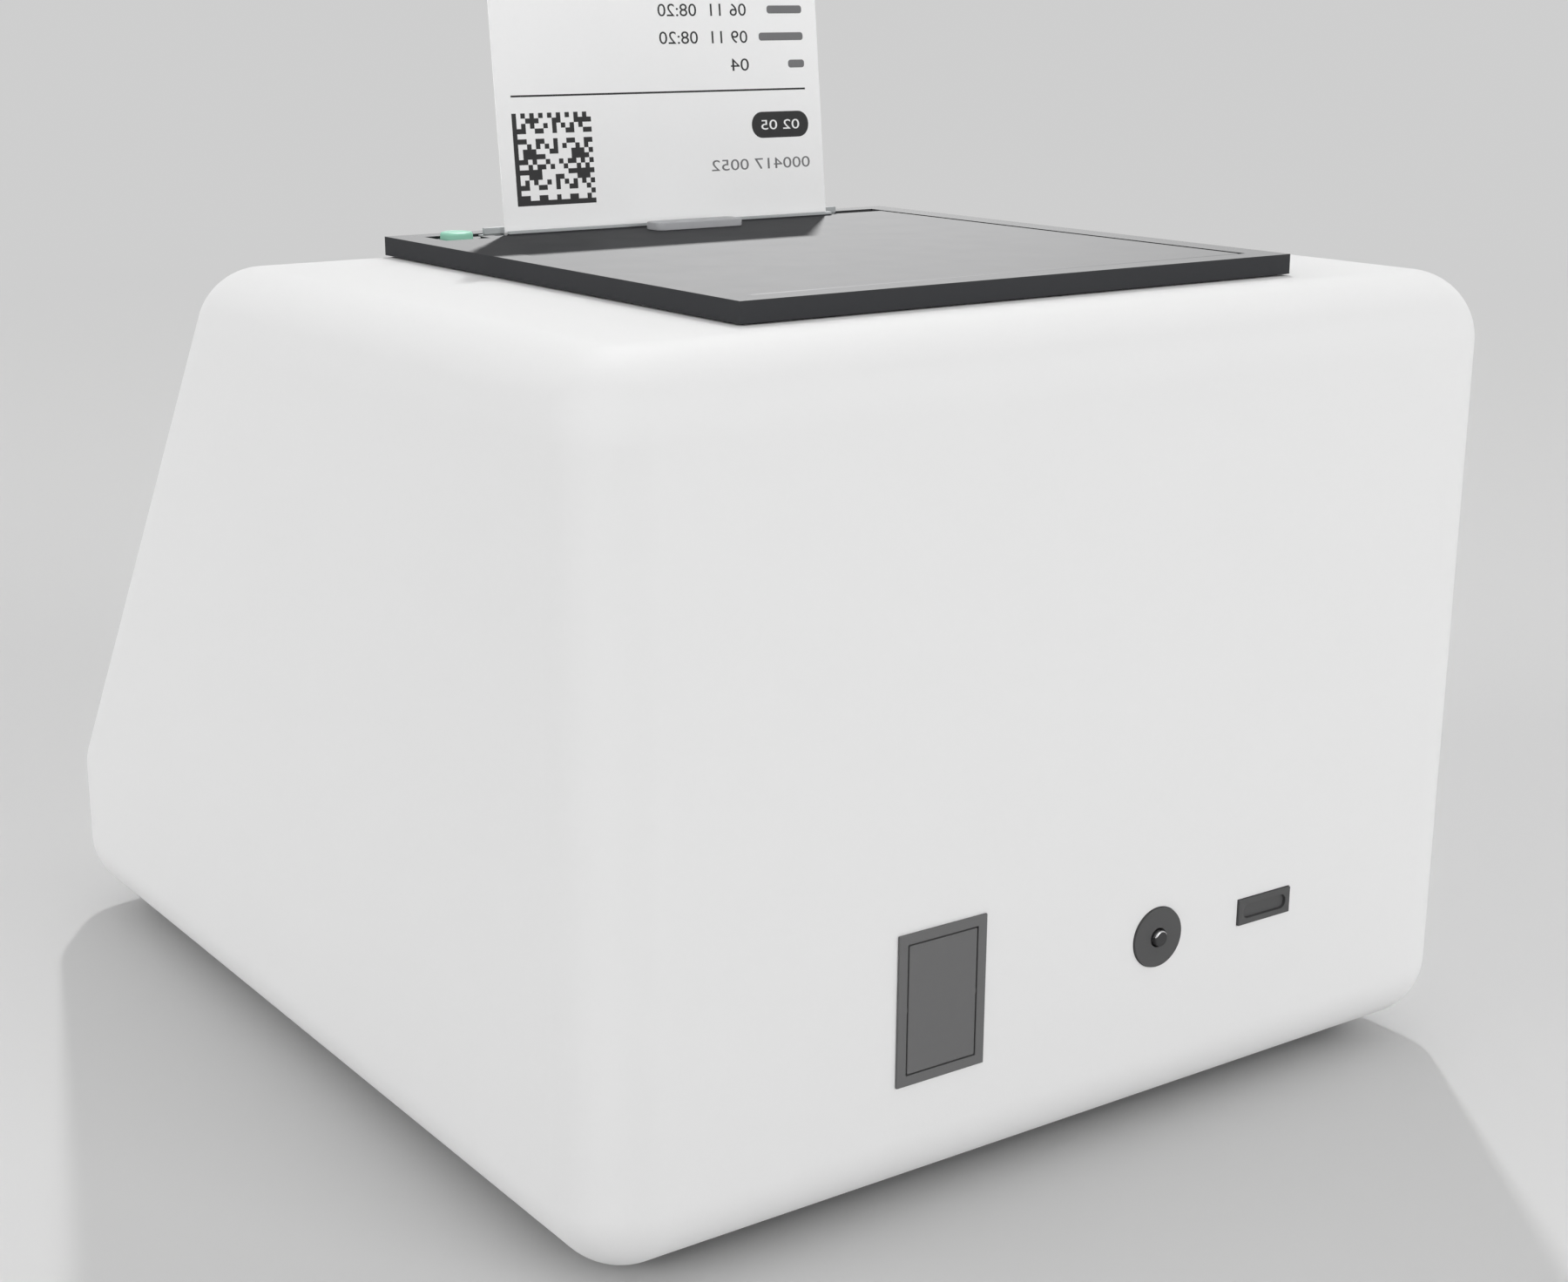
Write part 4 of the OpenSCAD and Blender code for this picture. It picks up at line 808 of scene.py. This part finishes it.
def figures(shape, text, x0, x1, s0, s1, half):
    """Plain numbers set to fill a box, as thin closed forms."""
    curve = bpy.data.curves.new("figures", "FONT")
    curve.body = text
    curve.resolution_u = 4
    line = bpy.data.objects.new("figures", curve)
    scene.collection.objects.link(line)
    bpy.context.view_layer.update()
    mesh = bpy.data.meshes.new_from_object(line.evaluated_get(bpy.context.evaluated_depsgraph_get()))
    bpy.data.objects.remove(line)
    flat = bmesh.new()
    flat.from_mesh(mesh)
    bmesh.ops.remove_doubles(flat, verts=flat.verts, dist=1e-5)
    xs, ys = [v.co.x for v in flat.verts], [v.co.y for v in flat.verts]
    low, high = Vector((min(xs), min(ys))), Vector((max(xs), max(ys)))

    def set_at(v, depth):
        across = x0 + (x1 - x0) * (v.co.x - low.x) / (high.x - low.x)
        up = s0 + (s1 - s0) * (v.co.y - low.y) / (high.y - low.y)
        return shape.verts.new(on_label(across, up, depth))

    front = {v: set_at(v, -half) for v in flat.verts}
    rear = {v: set_at(v, half) for v in flat.verts}
    for f in flat.faces:
        shape.faces.new([front[v] for v in f.verts])
        shape.faces.new([rear[v] for v in f.verts][::-1])
    for e in flat.edges:
        if len(e.link_faces) == 1:
            a, b = e.verts
            shape.faces.new((front[a], front[b], rear[b], rear[a]))
    flat.free()


def ink(name, colour, mottle):
    """Print on the paper, which takes its fibre."""
    look = {"Colour": (*colour, 1.0), "Gloss": 0.6, "Mottle": mottle}
    return finish(name, paper, look, height=0.000004)


thermal_ink = ink("thermal_ink", (0.012, 0.012, 0.013), 0.5)
grey_ink = ink("grey_ink", (0.17, 0.17, 0.175), 0.12)

first_line, second_line, third_line = 41.0, 36.6, 32.1
figures_left, figures_half_h = -17.0, 1.0
rule_left, rule_right, rule_s0, rule_s1 = -28.2, 28.5, 27.8, 28.1
pill_left, pill_right, pill_s0, pill_s1, pill_r = -28.5, -16.9, 20.0, 24.3, 2.1
dots_right, dots_foot, dots_w = 28.6, 10.9, 14.4
dark = bmesh.new()
rule = [(rule_left, rule_s0), (rule_right, rule_s0), (rule_right, rule_s1), (rule_left, rule_s1)]
prism(dark, rule, ink_half)
prism(dark, bar_outline(pill_left, pill_right, pill_s0, pill_s1, pill_r), ink_half)
for text, right, s in (("06 11  08:20", 0.3, first_line), ("09 11  08:20", 0.3, second_line),
                       ("04", -13.4, third_line)):
    figures(dark, text, figures_left, right, s - figures_half_h, s + figures_half_h, ink_half)
dots = 18
dot = dots_w / dots
for row in range(dots):
    for column in range(dots):
        edge = column == 0 or row == 0
        tick = (row == dots - 1 and column % 2 == 0) or (column == dots - 1 and row % 2 == 0)
        inside = 0 < column < dots - 1 and 0 < row < dots - 1
        filled = inside and (row * row * 7 + column * 5 + row * column * 3) % 11 < 5
        if edge or tick or filled:
            x, s = dots_right - dot * column, dots_foot + dot * row
            prism(dark, [(x - dot, s), (x, s), (x, s + dot), (x - dot, s + dot)], ink_half)
piece("label_print", mesh_of("label_print", dark), "label", "black_plastic", thermal_ink)

bars_left, bar_half_h, bar_r = -28.3, 0.65, 0.5
pale = bmesh.new()
for right, s in ((-21.2, first_line), (-19.3, second_line), (-25.0, third_line)):
    prism(pale, bar_outline(bars_left, right, s - bar_half_h, s + bar_half_h, bar_r), ink_half)
count_left, count_right, count_s0, count_s1 = -28.4, -8.4, 14.9, 16.7
figures(pale, "000417 0052", count_left, count_right, count_s0, count_s1, ink_half)
piece("label_print_grey", mesh_of("label_print_grey", pale), "label", "black_plastic", grey_ink)

in_pill_left, in_pill_right, in_pill_s0, in_pill_s1 = -26.6, -18.8, 21.35, 22.95
over_ink = 0.01
white = bmesh.new()
figures(white, "02 05", in_pill_left, in_pill_right, in_pill_s0, in_pill_s1, ink_half + over_ink)
piece("label_pill_figures", mesh_of("label_pill_figures", white), "label", "label_paper", label_paper)

# Feed button: a mint moulding that slides in the deck and presses a switch on a small board
# through its stem, with a coil spring to lift it.
mint = plastic("button_mint", (0.345, 0.68, 0.525), 0.45, drift=0.03, Specular_IOR_Level=0.012)
eased("feed_button", mint, 0.2, 3, clamp=False)
sprung("button_spring")

# Rear connectors: a rocker in a snap-in frame, a power jack and a data socket, moulded in
# greys and standing a little proud of the wall. The socket's tongue fills it but for a hairline.
# The jack's pin is bright metal on its upward-facing faces alone, a painted highlight along its
# top, and dark on all its other faces, which is painted shade on its sides and its own dark end.
switch_grey = plastic("switch_grey", (0.150, 0.150, 0.151), 0.45)
eased("switch_frame", switch_grey, 0.1)
eased("power_rocker", switch_grey, 0.15, clamp=False)
port_dark = plastic("port_dark", (0.095, 0.095, 0.096), 0.45)
eased("power_jack", port_dark, 0.12)
eased("usb_socket", port_dark, 0.1)
tongue_reach = Vector((0.26, 0.06, 0.26)) * MM
tongue = eased("usb_tongue", port_dark, 0.03)
low, high = (Vector(corner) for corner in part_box("usb_tongue"))
for v in tongue.data.vertices:
    for axis, reach_by in enumerate(tongue_reach):
        centre = (low[axis] + high[axis]) / 2
        v.co[axis] = centre + (v.co[axis] - centre) * (1 + 2 * reach_by / (high[axis] - low[axis]))
jack_metal = metal("jack_metal", (0.80, 0.80, 0.81), 0.25)
pin = eased("jack_pin", jack_metal, 0.26, 4, least=5.0)
pin_end_and_painted_shade = plastic("pin_end_and_painted_shade", (0.055, 0.055, 0.056), 0.5)
pin.data.materials.append(pin_end_and_painted_shade)
# Upward-facing faces of the pin take the bright metal as a painted highlight; the rest take the dark
# material, painted shade on the sides and the end's own dark colour.
painted_highlight_above = 0.25
for face in pin.data.polygons:
    face.material_index = 0 if face.normal.z > painted_highlight_above else 1
